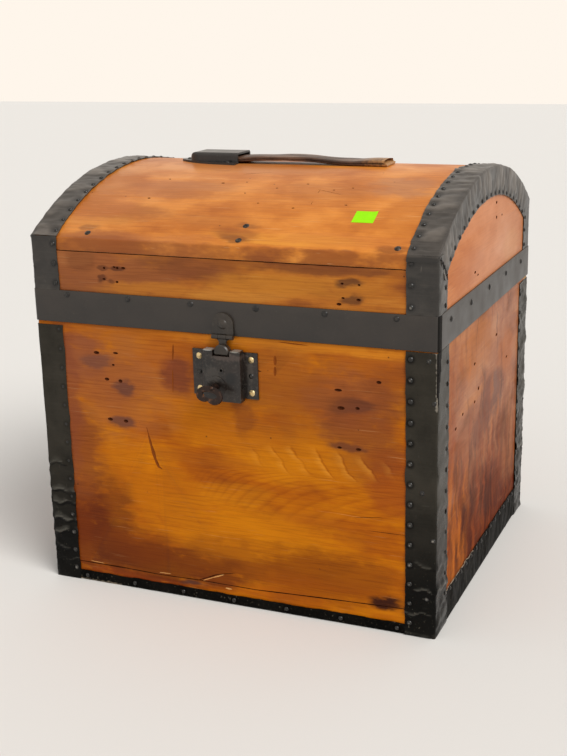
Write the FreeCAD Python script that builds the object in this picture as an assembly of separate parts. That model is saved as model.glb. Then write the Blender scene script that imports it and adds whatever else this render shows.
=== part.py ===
import FreeCAD, Part
import math
import os

# Dome top trunk: a nailed pine box with sheet iron bindings, an arched lid on two stop
# hinges, a surface lock with key and sliding bolt, a hinged hasp and a leather handle.
# Frame, in mm: +Z up, front face towards -Y, origin at the centre of the underside.

V = FreeCAD.Vector

# Outer sizes
TRUNK_W = 381.0            # over the corner bindings, along X
TRUNK_D = 330.0            # over the corner bindings, along Y
BASE_H = 255.4             # floor to the top edge of the base walls
LID_WALL_H = 66.0          # lid rim to the seam under the dome board
DOME_EDGE_H = 11.7         # exposed edge of the dome board, seam to knee
DOME_RISE = 50.5           # knee to crown
BOARD_T = 12.0             # every pine board
SHEET_T = 0.8              # corner, arch and bottom bindings
BAND_T = 1.6               # iron band round the lid rim
BAND_H = 29.6

# Bindings
CORNER_FRONT_W = 27.0      # leg on the front or back face
CORNER_SIDE_W = 34.0       # leg on the end face
LID_CORNER_SIDE_W = 25.0
CORNER_TOP_DROP = 3.0      # bare wood between a base corner binding and the rim
BOTTOM_FRONT_H = 10.0      # bottom binding, leg on the front or back face
BOTTOM_SIDE_H = 31.0       # bottom binding, leg on the end face
ARCH_TOP_W = 27.0          # arch binding, leg on the dome
ARCH_SIDE_W = 27.0         # arch binding, leg on the end face

# Nails and screws
NAIL_HEAD_R = 2.3
NAIL_HEAD_H = 1.3
NAIL_SHANK_R = 0.8
NAIL_LEN = 9.0
NAIL_EDGE = 4.0            # nail centre to the edge of its binding
CORNER_NAIL_PITCH = 18.4
ARCH_NAIL_PITCH = 15.0
BOTTOM_NAIL_PITCH = 18.4
BOTTOM_FRONT_NAIL_PITCH = 52.0
BAND_NAIL_PITCH_X = 62.2
BAND_NAIL_PITCH_Y = 64.5
BAND_NAIL_IN_X = 35.0      # outermost band nails, in from the sides of the trunk
SCREW_HEAD_R = 2.9
SCREW_HEAD_H = 1.2
SCREW_SHANK_R = 1.3
SCREW_SLOT_W = 0.7
SLOT_TURN_DEG = 53.0       # from one screw's slot to the next
WALL_NAIL_R = 1.2          # nails that hold board to board, under the bindings
WALL_NAIL_LEN = 28.0
DOME_NAIL_LEN = 20.0
WALL_NAIL_PITCH = 60.0
NAIL_SET = 0.5             # driven below the dome's face

# Hinges
HINGE_W = 40.0
LEAF_T = 2.0
LOWER_LEAF_H = 32.0
UPPER_LEAF_H = 24.0
HINGE_SCREW_UP = 6.0       # lower leaf screws, from its bottom edge
HINGE_SCREW_DOWN = 8.0     # and from its top edge
KNUCKLE_R = 3.2
HINGE_PIN_R = 1.5
LID_OPEN_DEG = 105.0
HEEL_REACH = 6.8           # stop heel, from the pin's axis
HEEL_T = 3.0

# Hasp
HASP_R = 10.0              # round top of the hasp plate
HASP_CENTRE_UP = 10.2      # its centre, above the lid rim
HASP_T = 2.0
HASP_BARREL_R = 2.2
HASP_PIN_R = 1.0
HASP_TONGUE_T = 2.2
HASP_MID_W = 7.4           # the tongue's knuckle
TONGUE_REACH = 15.3        # pin to the knob's lower edge
NECK_W = 6.5
FLARE_W = 11.0
KNOB_W = 14.7
KNOB_H = 9.2
KNOB_T = 6.1

# Lock
LOCK_PLATE_W = 62.0
LOCK_PLATE_H = 41.5
LOCK_PLATE_T = 1.5
LOCK_PLATE_DROP = 13.4     # plate top below the top of the base wall
CASE_W = 36.0
CASE_D = 8.0
CASE_WALL = 1.2
CASE_OVER_TOP = 2.0        # the case stands past the plate at both ends
CASE_OVER_BOTTOM = 2.5
NOTCH_GAP = 0.85           # round the knob, at its sides and below
LOCK_SCREW_X = 24.8
LOCK_SCREW_IN = 6.4        # screw centres, from the plate's top and bottom
KEY_X = -5.0
KEY_UP = 14.0              # key axis above the case's bottom
KEYHOLE_DISC_R = 9.0
KEYHOLE_DISC_T = 0.7

# Key and bolt
KEY_STEM_R = 2.3
KEY_BORE_R = 1.2
KEY_POST_R = 1.1
KEY_OUT = 8.0              # stem beyond the case front
KEY_BIT_R = 4.0
KEY_BIT_W = 1.6
KEY_TURN_DEG = 90.0
KEY_BOW_W = 24.0
KEY_BOW_L = 13.0
KEY_BOW_T = 2.0
KEY_BOW_DROOP_DEG = 60.0   # the bow is bent down from the stem by this much
KEY_REST_DEG = 12.0        # clockwise, seen from the front
BOLT_TRAVEL = 4.8
BOLT_T = 1.75
BOLT_LOW = 2.6             # bolt's lower edge above the key axis
TALON_W = 2.6
BOLT_PIN_R = 0.9

# Handle
CAP_X0 = -118.0            # tip of the flange
CAP_LEN = 66.0
CAP_W = 30.0
CAP_H = 10.0
CAP_WALL = 1.8
CAP_LEAD = 12.0            # flange tip to the hollow body
CAP_NOSE = 11.0            # sloping front of the body
CAP_ROUND = 12.0           # its corners, seen from above
CAP_EDGE_R = 3.0
CAP_SEAT = 4.0             # the blank reaches this far below the crown before it is fitted
CAP_NAIL_IN = 7.5
FLANGE_W = 44.0
FLANGE_T = 2.0
STRAP_W = 26.0
STRAP_T = 5.2
STRAP_END_X = 98.0
STRAP_LAND_X = 64.0        # the strap comes down onto the dome here
STRAP_LIFT = 3.3           # finger gap under the middle of the strap

# Label and dome screws
LABEL_IN_X = 85.5          # label's left edge, in from the right side of the trunk
LABEL_IN_Y = 32.4          # its lower edge, in from the front
LABEL_W = 19.1
LABEL_L = 16.5
LABEL_T = 0.15
DOME_SCREW_IN_LEFT = 56.1  # dome screws, in from the left and right sides
DOME_SCREW_IN_RIGHT = 36.4
DOME_SCREW_MID_X = 13.3
DOME_SCREW_EDGE = 6.2      # from the knee
DOME_SCREW_SPARE_UP = 16.2  # a second middle screw, this much further up the dome

# Clearances
RIM_GAP = 0.4              # base walls to closed lid
KNUCKLE_GAP = 0.3          # between neighbouring knuckles, and knuckle to the band
PIN_RUN = 0.06             # radial running clearance
STOP_GAP = 0.05
SLIDE_GAP = 0.05
BOLT_PIN_GAP = 0.25
KEYHOLE_GAP = 0.35
REST_GAP = 0.05            # leather above the dome
PRESS = 0.02               # a pressed pin over its hole, radial
BAND_SEAM = 1.0            # the band's ends meet at the back

# Derived positions
HALF_W = TRUNK_W / 2
HALF_D = TRUNK_D / 2
WX = HALF_W - SHEET_T
WY = HALF_D - SHEET_T
IN_X = WX - BOARD_T
IN_Y = WY - BOARD_T
RIM_Z = BASE_H + RIM_GAP
BAND_TOP = RIM_Z + BAND_H
SEAM_Z = RIM_Z + LID_WALL_H
KNEE_Z = SEAM_Z + DOME_EDGE_H
CROWN_Z = KNEE_Z + DOME_RISE
DOME_R = (WY ** 2 + DOME_RISE ** 2) / (2 * DOME_RISE)
DOME_CZ = CROWN_Z - DOME_R
DOME_A = math.asin(WY / DOME_R)
DOME_IN_R = DOME_R - BOARD_T
BAND_Y = WY + BAND_T
HINGE_Y = BAND_Y + KNUCKLE_R + KNUCKLE_GAP
HINGE_Z = BASE_H + RIM_GAP / 2
HASP_Y = -(BAND_Y + HASP_BARREL_R + 0.2)
HASP_Z = RIM_Z - 0.8
HASP_CENTRE_Z = RIM_Z + HASP_CENTRE_UP
PLATE_TOP = BASE_H - LOCK_PLATE_DROP
PLATE_BOTTOM = PLATE_TOP - LOCK_PLATE_H
PLATE_Y = -(WY + LOCK_PLATE_T)
CASE_TOP = PLATE_TOP + CASE_OVER_TOP
CASE_BOTTOM = PLATE_BOTTOM - CASE_OVER_BOTTOM
CASE_Y = PLATE_Y - CASE_D
KEY_Z = CASE_BOTTOM + KEY_UP
KNOB_BOTTOM = HASP_Z - TONGUE_REACH
NOTCH_FLOOR = KNOB_BOTTOM - NOTCH_GAP
NOTCH_HALF = KNOB_W / 2 + NOTCH_GAP
BOLT_PIN_Z = CASE_TOP - CASE_WALL - BOLT_PIN_R - 0.2
BOLT_PIN_Y = HASP_Y - 0.8


def box(x0, x1, y0, y1, z0, z1):
    """Box between two corners given in any order."""
    lo = V(min(x0, x1), min(y0, y1), min(z0, z1))
    return Part.makeBox(abs(x1 - x0), abs(y1 - y0), abs(z1 - z0), lo)


def fuse(shapes):
    """One solid out of touching or overlapping shapes."""
    joined = shapes[0]
    for shape in shapes[1:]:
        joined = joined.fuse(shape)
    return joined.removeSplitter()


def rod(x, y, z, direction, radius, length):
    """Cylinder from a point along a direction."""
    return Part.makeCylinder(radius, length, V(x, y, z), direction)


def prism(edges, direction):
    """Solid swept along a direction from a closed loop of edges."""
    return Part.Face(Part.Wire(edges)).extrude(direction)


def spline(points, leave=None):
    """Smooth edge through points; leave is its direction at the last one."""
    curve = Part.BSplineCurve()
    if leave is None:
        curve.interpolate(points)
    else:
        arrive = (points[1] - points[0]).normalize()
        curve.interpolate(points, InitialTangent=arrive, FinalTangent=leave)
    return curve.toShape()


def on_dome(x, radius, angle):
    """Point on a cylinder about the dome's axis; the angle leans from +Z to +Y."""
    return V(x, radius * math.sin(angle), DOME_CZ + radius * math.cos(angle))


def dome_arc(x, radius, a0, a1):
    """Arc about the dome's axis."""
    middle = on_dome(x, radius, (a0 + a1) / 2)
    return Part.Arc(on_dome(x, radius, a0), middle, on_dome(x, radius, a1)).toShape()


def sector(r0, r1, a0, a1, x0, x1):
    """Ring sector about the dome's axis, from x0 to x1."""
    edges = [dome_arc(x0, r1, a0, a1),
             Part.makeLine(on_dome(x0, r1, a1), on_dome(x0, r0, a1)),
             dome_arc(x0, r0, a1, a0),
             Part.makeLine(on_dome(x0, r0, a0), on_dome(x0, r1, a0))]
    return prism(edges, V(x1 - x0, 0, 0))


def domed_pin(head_r, head_h, shank_r, length):
    """Nail along -Z with its domed head on the plane z = 0."""
    ball = (head_r ** 2 + head_h ** 2) / (2 * head_h)
    lean = math.asin(head_r / ball) / 2
    middle = V(ball * math.sin(lean), 0, head_h - ball + ball * math.cos(lean))
    edges = [Part.makeLine(V(0, 0, head_h), V(0, 0, -length)),
             Part.makeLine(V(0, 0, -length), V(shank_r, 0, -length)),
             Part.makeLine(V(shank_r, 0, -length), V(shank_r, 0, 0)),
             Part.makeLine(V(shank_r, 0, 0), V(head_r, 0, 0)),
             Part.Arc(V(head_r, 0, 0), middle, V(0, 0, head_h)).toShape()]
    return Part.Face(Part.Wire(edges)).revolve(V(0, 0, 0), V(0, 0, 1), 360)


NAIL = domed_pin(NAIL_HEAD_R, NAIL_HEAD_H, NAIL_SHANK_R, NAIL_LEN)
SCREW = domed_pin(SCREW_HEAD_R, SCREW_HEAD_H, SCREW_SHANK_R, NAIL_LEN).cut(
    box(-SCREW_HEAD_R, SCREW_HEAD_R, -SCREW_SLOT_W / 2, SCREW_SLOT_W / 2,
        SCREW_HEAD_H / 2, SCREW_HEAD_H))


def placed(master, point, outward, turn=0.0):
    """Copy of a fastener, its head at a point and facing outward."""
    copy = master.copy()
    spin = FreeCAD.Rotation(V(0, 0, 1), turn)
    copy.Placement = FreeCAD.Placement(point, FreeCAD.Rotation(V(0, 0, 1), outward) * spin)
    return copy


def spaced(lo, hi, pitch):
    """Evenly spaced values from lo to hi, as near the pitch as fits."""
    steps = max(1, round((hi - lo) / pitch))
    return [lo + (hi - lo) * i / steps for i in range(steps + 1)]


def centred(half, pitch):
    """Values on a pitch, placed evenly about zero within half either way."""
    count = int(2 * half / pitch) + 1
    return [(i - (count - 1) / 2) * pitch for i in range(count)]


def paired(end, pitch):
    """Even values from -end to end, as near the pitch as fits, with zero midway between two."""
    count = max(1, round(end / pitch + 0.5))
    return spaced(-end, end, end / (count - 0.5))


BAND_NAILS_X = paired(HALF_W - BAND_NAIL_IN_X, BAND_NAIL_PITCH_X)
HINGE_X = (BAND_NAILS_X[-1] + BAND_NAILS_X[-2]) / 2  # midway between two band nails


def base_boards():
    """Four walls and the bottom board let in between them."""
    wall = (SHEET_T, BASE_H)
    return {
        "base_front_board": box(-WX, WX, -WY, -IN_Y, *wall),
        "base_back_board": box(-WX, WX, WY, IN_Y, *wall),
        "base_left_end": box(-WX, -IN_X, -IN_Y, IN_Y, *wall),
        "base_right_end": box(WX, IN_X, -IN_Y, IN_Y, *wall),
        "base_bottom_board": box(-IN_X, IN_X, -IN_Y, IN_Y, 0, BOARD_T),
    }


def lid_boards():
    """Lid walls, arched ends and the bent dome board that covers them."""
    seat = math.acos((SEAM_Z - DOME_CZ) / DOME_IN_R)
    inner = math.asin(IN_Y / DOME_IN_R)
    boards = {}
    for name, s in (("front", -1), ("back", 1)):
        edges = [Part.makeLine(V(-WX, s * IN_Y, RIM_Z), V(-WX, s * WY, RIM_Z)),
                 Part.makeLine(V(-WX, s * WY, RIM_Z), V(-WX, s * WY, SEAM_Z)),
                 Part.makeLine(V(-WX, s * WY, SEAM_Z), on_dome(-WX, DOME_IN_R, s * seat)),
                 dome_arc(-WX, DOME_IN_R, s * seat, s * inner),
                 Part.makeLine(on_dome(-WX, DOME_IN_R, s * inner), V(-WX, s * IN_Y, RIM_Z))]
        boards["lid_%s_board" % name] = prism(edges, V(2 * WX, 0, 0))
    for name, s in (("left", -1), ("right", 1)):
        edges = [Part.makeLine(V(s * IN_X, -IN_Y, RIM_Z), V(s * IN_X, IN_Y, RIM_Z)),
                 Part.makeLine(V(s * IN_X, IN_Y, RIM_Z), on_dome(s * IN_X, DOME_IN_R, inner)),
                 dome_arc(s * IN_X, DOME_IN_R, inner, -inner),
                 Part.makeLine(on_dome(s * IN_X, DOME_IN_R, -inner), V(s * IN_X, -IN_Y, RIM_Z))]
        boards["lid_%s_end" % name] = prism(edges, V(s * BOARD_T, 0, 0))
    edges = [dome_arc(-WX, DOME_R, -DOME_A, DOME_A),
             Part.makeLine(V(-WX, WY, KNEE_Z), V(-WX, WY, SEAM_Z)),
             Part.makeLine(V(-WX, WY, SEAM_Z), on_dome(-WX, DOME_IN_R, seat)),
             dome_arc(-WX, DOME_IN_R, seat, -seat),
             Part.makeLine(on_dome(-WX, DOME_IN_R, -seat), V(-WX, -WY, SEAM_Z)),
             Part.makeLine(V(-WX, -WY, SEAM_Z), V(-WX, -WY, KNEE_Z))]
    boards["dome_board"] = prism(edges, V(2 * WX, 0, 0))
    return boards


CORNERS = (("front_left", -1, -1), ("front_right", 1, -1),
           ("rear_left", -1, 1), ("rear_right", 1, 1))


def corner_bindings():
    """Folded angles on the vertical corners of base and lid."""
    parts = {}
    base_top = BASE_H - CORNER_TOP_DROP
    arch_zone = sector(DOME_R - ARCH_SIDE_W, DOME_R + 3 * BOARD_T, -DOME_A, DOME_A,
                       -TRUNK_W, TRUNK_W)
    for name, sx, sy in CORNERS:
        front = (sx * (HALF_W - CORNER_FRONT_W), sx * HALF_W, sy * WY, sy * HALF_D)
        side = (sx * WX, sx * HALF_W)
        base = [box(*front, 0, base_top),
                box(*side, sy * (HALF_D - CORNER_SIDE_W), sy * HALF_D, 0, base_top)]
        parts["base_corner_binding_" + name] = fuse(base)
        leg = box(*side, sy * (HALF_D - LID_CORNER_SIDE_W), sy * WY, BAND_TOP, KNEE_Z)
        lid = [box(*front, BAND_TOP, KNEE_Z), leg.cut(arch_zone)]
        parts["lid_corner_binding_" + name] = fuse(lid)
    return parts


def bottom_bindings():
    """Folded angles along the bottom edges, butted against the corner bindings."""
    parts = {}
    half_x = HALF_W - CORNER_FRONT_W
    half_y = HALF_D - CORNER_SIDE_W
    for name, s in (("front", -1), ("back", 1)):
        legs = [box(-half_x, half_x, s * WY, s * HALF_D, 0, BOTTOM_FRONT_H),
                box(-half_x, half_x, s * IN_Y, s * WY, 0, SHEET_T)]
        parts["bottom_binding_" + name] = fuse(legs)
    for name, s in (("left", -1), ("right", 1)):
        legs = [box(s * WX, s * HALF_W, -half_y, half_y, 0, BOTTOM_SIDE_H),
                box(s * IN_X, s * WX, -half_y, half_y, 0, SHEET_T)]
        parts["bottom_binding_" + name] = fuse(legs)
    return parts


def arch_bindings():
    """Angle folded over each end of the dome, from knee to knee."""
    parts = {}
    for name, s in (("left", -1), ("right", 1)):
        top = sector(DOME_R, DOME_R + SHEET_T, -DOME_A, DOME_A,
                     s * (HALF_W - ARCH_TOP_W), s * HALF_W)
        side = sector(DOME_R - ARCH_SIDE_W, DOME_R + SHEET_T, -DOME_A, DOME_A,
                      s * WX, s * HALF_W)
        parts["arch_binding_" + name] = fuse([top, side])
    return parts


def lid_band():
    """Iron band round the lid rim, its ends meeting at the middle of the back."""
    x = WX + BAND_T
    outer = box(-x, x, -BAND_Y, BAND_Y, RIM_Z, BAND_TOP)
    upright = [e for e in outer.Edges if abs(e.Vertexes[0].Z - e.Vertexes[1].Z) > 1]
    outer = outer.makeFillet(BAND_T, upright)
    ring = outer.cut(box(-WX, WX, -WY, WY, RIM_Z, BAND_TOP))
    return ring.cut(box(-BAND_SEAM / 2, BAND_SEAM / 2, IN_Y, BAND_Y + 1, RIM_Z, BAND_TOP))


def base_nails():
    """Nails of the base corner and bottom bindings."""
    corner = []
    nail_x = HALF_W - CORNER_FRONT_W + NAIL_EDGE
    nail_y = HALF_D - CORNER_SIDE_W + NAIL_EDGE
    top = BASE_H - CORNER_TOP_DROP - NAIL_EDGE
    for _, sx, sy in CORNERS:
        for z in spaced(3 * NAIL_EDGE, top, CORNER_NAIL_PITCH):
            corner.append(placed(NAIL, V(sx * nail_x, sy * HALF_D, z), V(0, sy, 0)))
        for z in spaced(BOTTOM_SIDE_H, top - 2 * NAIL_EDGE, CORNER_NAIL_PITCH):
            corner.append(placed(NAIL, V(sx * HALF_W, sy * nail_y, z), V(sx, 0, 0)))
    bottom = []
    for s in (-1, 1):
        for y in centred(HALF_D - CORNER_SIDE_W - NAIL_EDGE, BOTTOM_NAIL_PITCH):
            point = V(s * HALF_W, y, BOTTOM_SIDE_H - 0.7 * NAIL_EDGE)
            bottom.append(placed(NAIL, point, V(s, 0, 0)))
        for x in centred(HALF_W - CORNER_FRONT_W - NAIL_EDGE, BOTTOM_FRONT_NAIL_PITCH):
            point = V(x, s * HALF_D, BOTTOM_FRONT_H / 2)
            bottom.append(placed(NAIL, point, V(0, s, 0)))
    return {"base_corner_nails": corner, "bottom_binding_nails": bottom}


def wall_nails():
    """Plain nails, hidden under the bindings, that hold the boards to each other."""
    base = []
    lid = []
    x = WX - BOARD_T / 2
    low = BOARD_T / 2
    for s in (-1, 1):
        inward = V(0, -s, 0)
        for sx in (-1, 1):
            for z in spaced(2 * BOARD_T, BASE_H - 2 * BOARD_T, WALL_NAIL_PITCH):
                base.append(rod(sx * x, s * WY, z, inward, WALL_NAIL_R, WALL_NAIL_LEN))
            for z in (RIM_Z + BOARD_T, SEAM_Z - BOARD_T):
                lid.append(rod(sx * x, s * WY, z, inward, WALL_NAIL_R, WALL_NAIL_LEN))
            middle = WALL_NAIL_PITCH * 1.2
            base.append(rod(sx * middle, s * WY, low, inward, WALL_NAIL_R, WALL_NAIL_LEN))
            base.append(rod(s * WX, sx * middle, low, V(-s, 0, 0), WALL_NAIL_R, WALL_NAIL_LEN))
        reach = 0.8 * DOME_A
        for a in spaced(-reach, reach, WALL_NAIL_PITCH / DOME_R):
            down = V(0, -math.sin(a), -math.cos(a))
            point = on_dome(s * x, DOME_R - NAIL_SET, a)
            lid.append(rod(*point, down, WALL_NAIL_R, DOME_NAIL_LEN))
    return {"base_wall_nails": base, "lid_wall_nails": lid}


def lid_nails():
    """Nails of the lid's band, corner bindings and arch bindings."""
    nail_x = HALF_W - CORNER_FRONT_W + NAIL_EDGE
    nail_y = HALF_D - LID_CORNER_SIDE_W + NAIL_EDGE
    corner = []
    for _, sx, sy in CORNERS:
        for z in spaced(BAND_TOP + 1.5 * NAIL_EDGE, KNEE_Z - 1.5 * NAIL_EDGE, CORNER_NAIL_PITCH):
            corner.append(placed(NAIL, V(sx * nail_x, sy * HALF_D, z), V(0, sy, 0)))
        for z in (BAND_TOP + 1.2 * NAIL_EDGE, BAND_TOP + 1.2 * NAIL_EDGE + ARCH_NAIL_PITCH):
            corner.append(placed(NAIL, V(sx * HALF_W, sy * nail_y, z), V(sx, 0, 0)))
    band = []
    for s in (-1, 1):
        for x in BAND_NAILS_X:
            band.append(placed(NAIL, V(x, s * BAND_Y, BAND_TOP - NAIL_EDGE), V(0, s, 0)))
        for y in centred(WY - 2 * BOARD_T, BAND_NAIL_PITCH_Y):
            point = V(s * (WX + BAND_T), y, BAND_TOP - 2.4 * NAIL_EDGE)
            band.append(placed(NAIL, point, V(s, 0, 0)))
    arch = []
    end = DOME_A - 2 * NAIL_EDGE / DOME_R
    side_r = DOME_R - ARCH_SIDE_W + 0.8 * NAIL_EDGE
    for s in (-1, 1):
        for a in spaced(-end, end, ARCH_NAIL_PITCH / DOME_R):
            point = on_dome(s * (HALF_W - ARCH_TOP_W + NAIL_EDGE), DOME_R + SHEET_T, a)
            arch.append(placed(NAIL, point, V(0, math.sin(a), math.cos(a))))
        for a in spaced(-end, end, ARCH_NAIL_PITCH / side_r):
            arch.append(placed(NAIL, on_dome(s * HALF_W, side_r, a), V(s, 0, 0)))
    return {"lid_corner_nails": corner, "band_nails": band, "arch_nails": arch}


def hinges():
    """Two stop hinges on the back; the lower leaves carry the outer knuckles."""
    third = (HINGE_W - 2 * KNUCKLE_GAP) / 3
    heel_lean = LID_OPEN_DEG - 90.0
    parts = {}
    pins = []
    lower_screws = []
    upper_screws = []
    for name, cx in (("left", -HINGE_X), ("right", HINGE_X)):
        x0 = cx - HINGE_W / 2
        x1 = cx + HINGE_W / 2
        mid = (cx - third / 2, cx + third / 2)
        leaf_top = HINGE_Z - KNUCKLE_R - 0.4
        leaf_bottom = HINGE_Z - LOWER_LEAF_H
        lower = [box(x0, x1, WY, WY + LEAF_T, leaf_bottom, leaf_top)]
        for a, b in ((x0, x0 + third), (x1 - third, x1)):
            lower.append(box(a, b, WY, HINGE_Y, leaf_top - 2.0, HINGE_Z - 1.0))
            lower.append(rod(a, HINGE_Y, HINGE_Z, V(1, 0, 0), KNUCKLE_R, b - a))
        stop_y = HINGE_Y - HEEL_T / 2 - STOP_GAP
        lower.append(box(*mid, WY, stop_y, HINGE_Z - HEEL_REACH - 0.2, leaf_top - 0.1))
        bore = rod(x0 - 1, HINGE_Y, HINGE_Z, V(1, 0, 0), HINGE_PIN_R - PRESS, HINGE_W + 2)
        parts["hinge_lower_leaf_" + name] = fuse(lower).cut(bore)

        upper_bottom = HINGE_Z + KNUCKLE_R + 0.4
        upper_top = upper_bottom + UPPER_LEAF_H
        heel = box(*mid, HINGE_Y, HINGE_Y + HEEL_REACH, HINGE_Z - HEEL_T / 2, HINGE_Z + HEEL_T / 2)
        heel.rotate(V(0, HINGE_Y, HINGE_Z), V(1, 0, 0), heel_lean)
        upper = [box(x0, x1, BAND_Y, BAND_Y + LEAF_T, upper_bottom, upper_top),
                 box(*mid, BAND_Y, HINGE_Y, HINGE_Z + 1.0, upper_bottom + 2.0),
                 rod(mid[0], HINGE_Y, HINGE_Z, V(1, 0, 0), KNUCKLE_R, third),
                 heel]
        bore = rod(x0 - 1, HINGE_Y, HINGE_Z, V(1, 0, 0), HINGE_PIN_R + PIN_RUN, HINGE_W + 2)
        parts["hinge_upper_leaf_" + name] = fuse(upper).cut(bore)

        pins.append(rod(x0 - 0.6, HINGE_Y, HINGE_Z, V(1, 0, 0), HINGE_PIN_R, HINGE_W + 1.2))
        for x in (cx - HINGE_W / 3, cx + HINGE_W / 3):
            for z in (leaf_bottom + HINGE_SCREW_UP, leaf_top - HINGE_SCREW_DOWN):
                turn = SLOT_TURN_DEG * len(lower_screws)
                lower_screws.append(placed(SCREW, V(x, WY + LEAF_T, z), V(0, 1, 0), turn))
            point = V(x, BAND_Y + LEAF_T, (upper_bottom + upper_top) / 2)
            turn = SLOT_TURN_DEG * len(upper_screws)
            upper_screws.append(placed(SCREW, point, V(0, 1, 0), turn))
    parts["hinge_pins"] = pins
    parts["hinge_lower_screws"] = lower_screws
    parts["hinge_upper_screws"] = upper_screws
    return parts


def hasp():
    """Plate on the band, pin, and the tongue that hangs into the lock case."""
    y_back = -BAND_Y
    y_face = -(BAND_Y + HASP_T)
    plate_foot = HASP_Z + HASP_BARREL_R + 0.3
    knuckle = (2 * HASP_R - HASP_MID_W - 2 * KNUCKLE_GAP) / 2
    lower_half = box(-HASP_R, HASP_R, y_back, y_face, RIM_Z - HASP_R, HASP_CENTRE_Z)
    plate = [rod(0, y_back, HASP_CENTRE_Z, V(0, -1, 0), HASP_R, HASP_T).cut(lower_half),
             box(-HASP_R, HASP_R, y_back, y_face, plate_foot, HASP_CENTRE_Z)]
    for a, b in ((-HASP_R, -HASP_R + knuckle), (HASP_R - knuckle, HASP_R)):
        plate.append(box(a, b, y_back, HASP_Y, RIM_Z, plate_foot))
        plate.append(rod(a, HASP_Y, HASP_Z, V(1, 0, 0), HASP_BARREL_R, b - a))
    bore = rod(-HASP_R - 1, HASP_Y, HASP_Z, V(1, 0, 0), HASP_PIN_R - PRESS, 2 * HASP_R + 2)
    parts = {"hasp_plate": fuse(plate).cut(bore)}
    rivet = domed_pin(4.3, 1.8, 1.6, NAIL_LEN)
    parts["hasp_rivet"] = placed(rivet, V(0, y_face, HASP_CENTRE_Z), V(0, -1, 0))
    parts["hasp_pin"] = rod(-HASP_R, HASP_Y, HASP_Z, V(1, 0, 0), HASP_PIN_R, 2 * HASP_R)

    back = HASP_Y + HASP_TONGUE_T / 2
    flare_top = HASP_Z - HASP_BARREL_R - 0.3
    knob_top = KNOB_BOTTOM + KNOB_H
    neck_z = (flare_top + knob_top) / 2
    web_half = HASP_MID_W / 2
    neck_half = NECK_W / 2
    right = [V(web_half, back, HASP_Z), V(web_half, back, flare_top),
             V(FLARE_W / 2, back, flare_top), V(neck_half + 0.5, back, neck_z + 0.8),
             V(neck_half, back, neck_z), V(neck_half + 0.6, back, knob_top - 2.4)]
    left = [V(-p.x, p.y, p.z) for p in right]
    outline = [Part.makeLine(left[0], right[0]), Part.makeLine(right[0], right[1]),
               Part.makeLine(right[1], right[2]), Part.Arc(*right[2:5]).toShape(),
               Part.makeLine(right[4], right[5]), Part.makeLine(right[5], left[5]),
               Part.makeLine(left[5], left[4]), Part.Arc(*left[4:1:-1]).toShape(),
               Part.makeLine(left[2], left[1]), Part.makeLine(left[1], left[0])]
    blade = prism(outline, V(0, -HASP_TONGUE_T, 0))
    foot = [V(s * (KNOB_W / 2 - 1.2), back, KNOB_BOTTOM) for s in (-1, 1)]
    hip = [V(s * KNOB_W / 2, back, KNOB_BOTTOM + 2.0) for s in (-1, 1)]
    knob = prism([Part.makeLine(foot[0], foot[1]), Part.makeLine(foot[1], hip[1]),
                  Part.Arc(hip[1], V(0, back, knob_top), hip[0]).toShape(),
                  Part.makeLine(hip[0], foot[0])], V(0, -KNOB_T, 0))
    front_edges = [e for e in knob.Edges if all(v.Y < back - KNOB_T + 0.01 for v in e.Vertexes)]
    knob = knob.makeChamfer(1.0, front_edges)
    barrel = rod(-web_half, HASP_Y, HASP_Z, V(1, 0, 0), HASP_BARREL_R, HASP_MID_W)
    bore = rod(-HASP_R, HASP_Y, HASP_Z, V(1, 0, 0), HASP_PIN_R + PIN_RUN, 2 * HASP_R)
    socket = rod(-KNOB_W, BOLT_PIN_Y, BOLT_PIN_Z, V(1, 0, 0),
                 BOLT_PIN_R + BOLT_PIN_GAP, KNOB_W + 0.5)
    parts["hasp_tongue"] = fuse([barrel, blade, knob]).cut(bore).cut(socket)
    return parts


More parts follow.
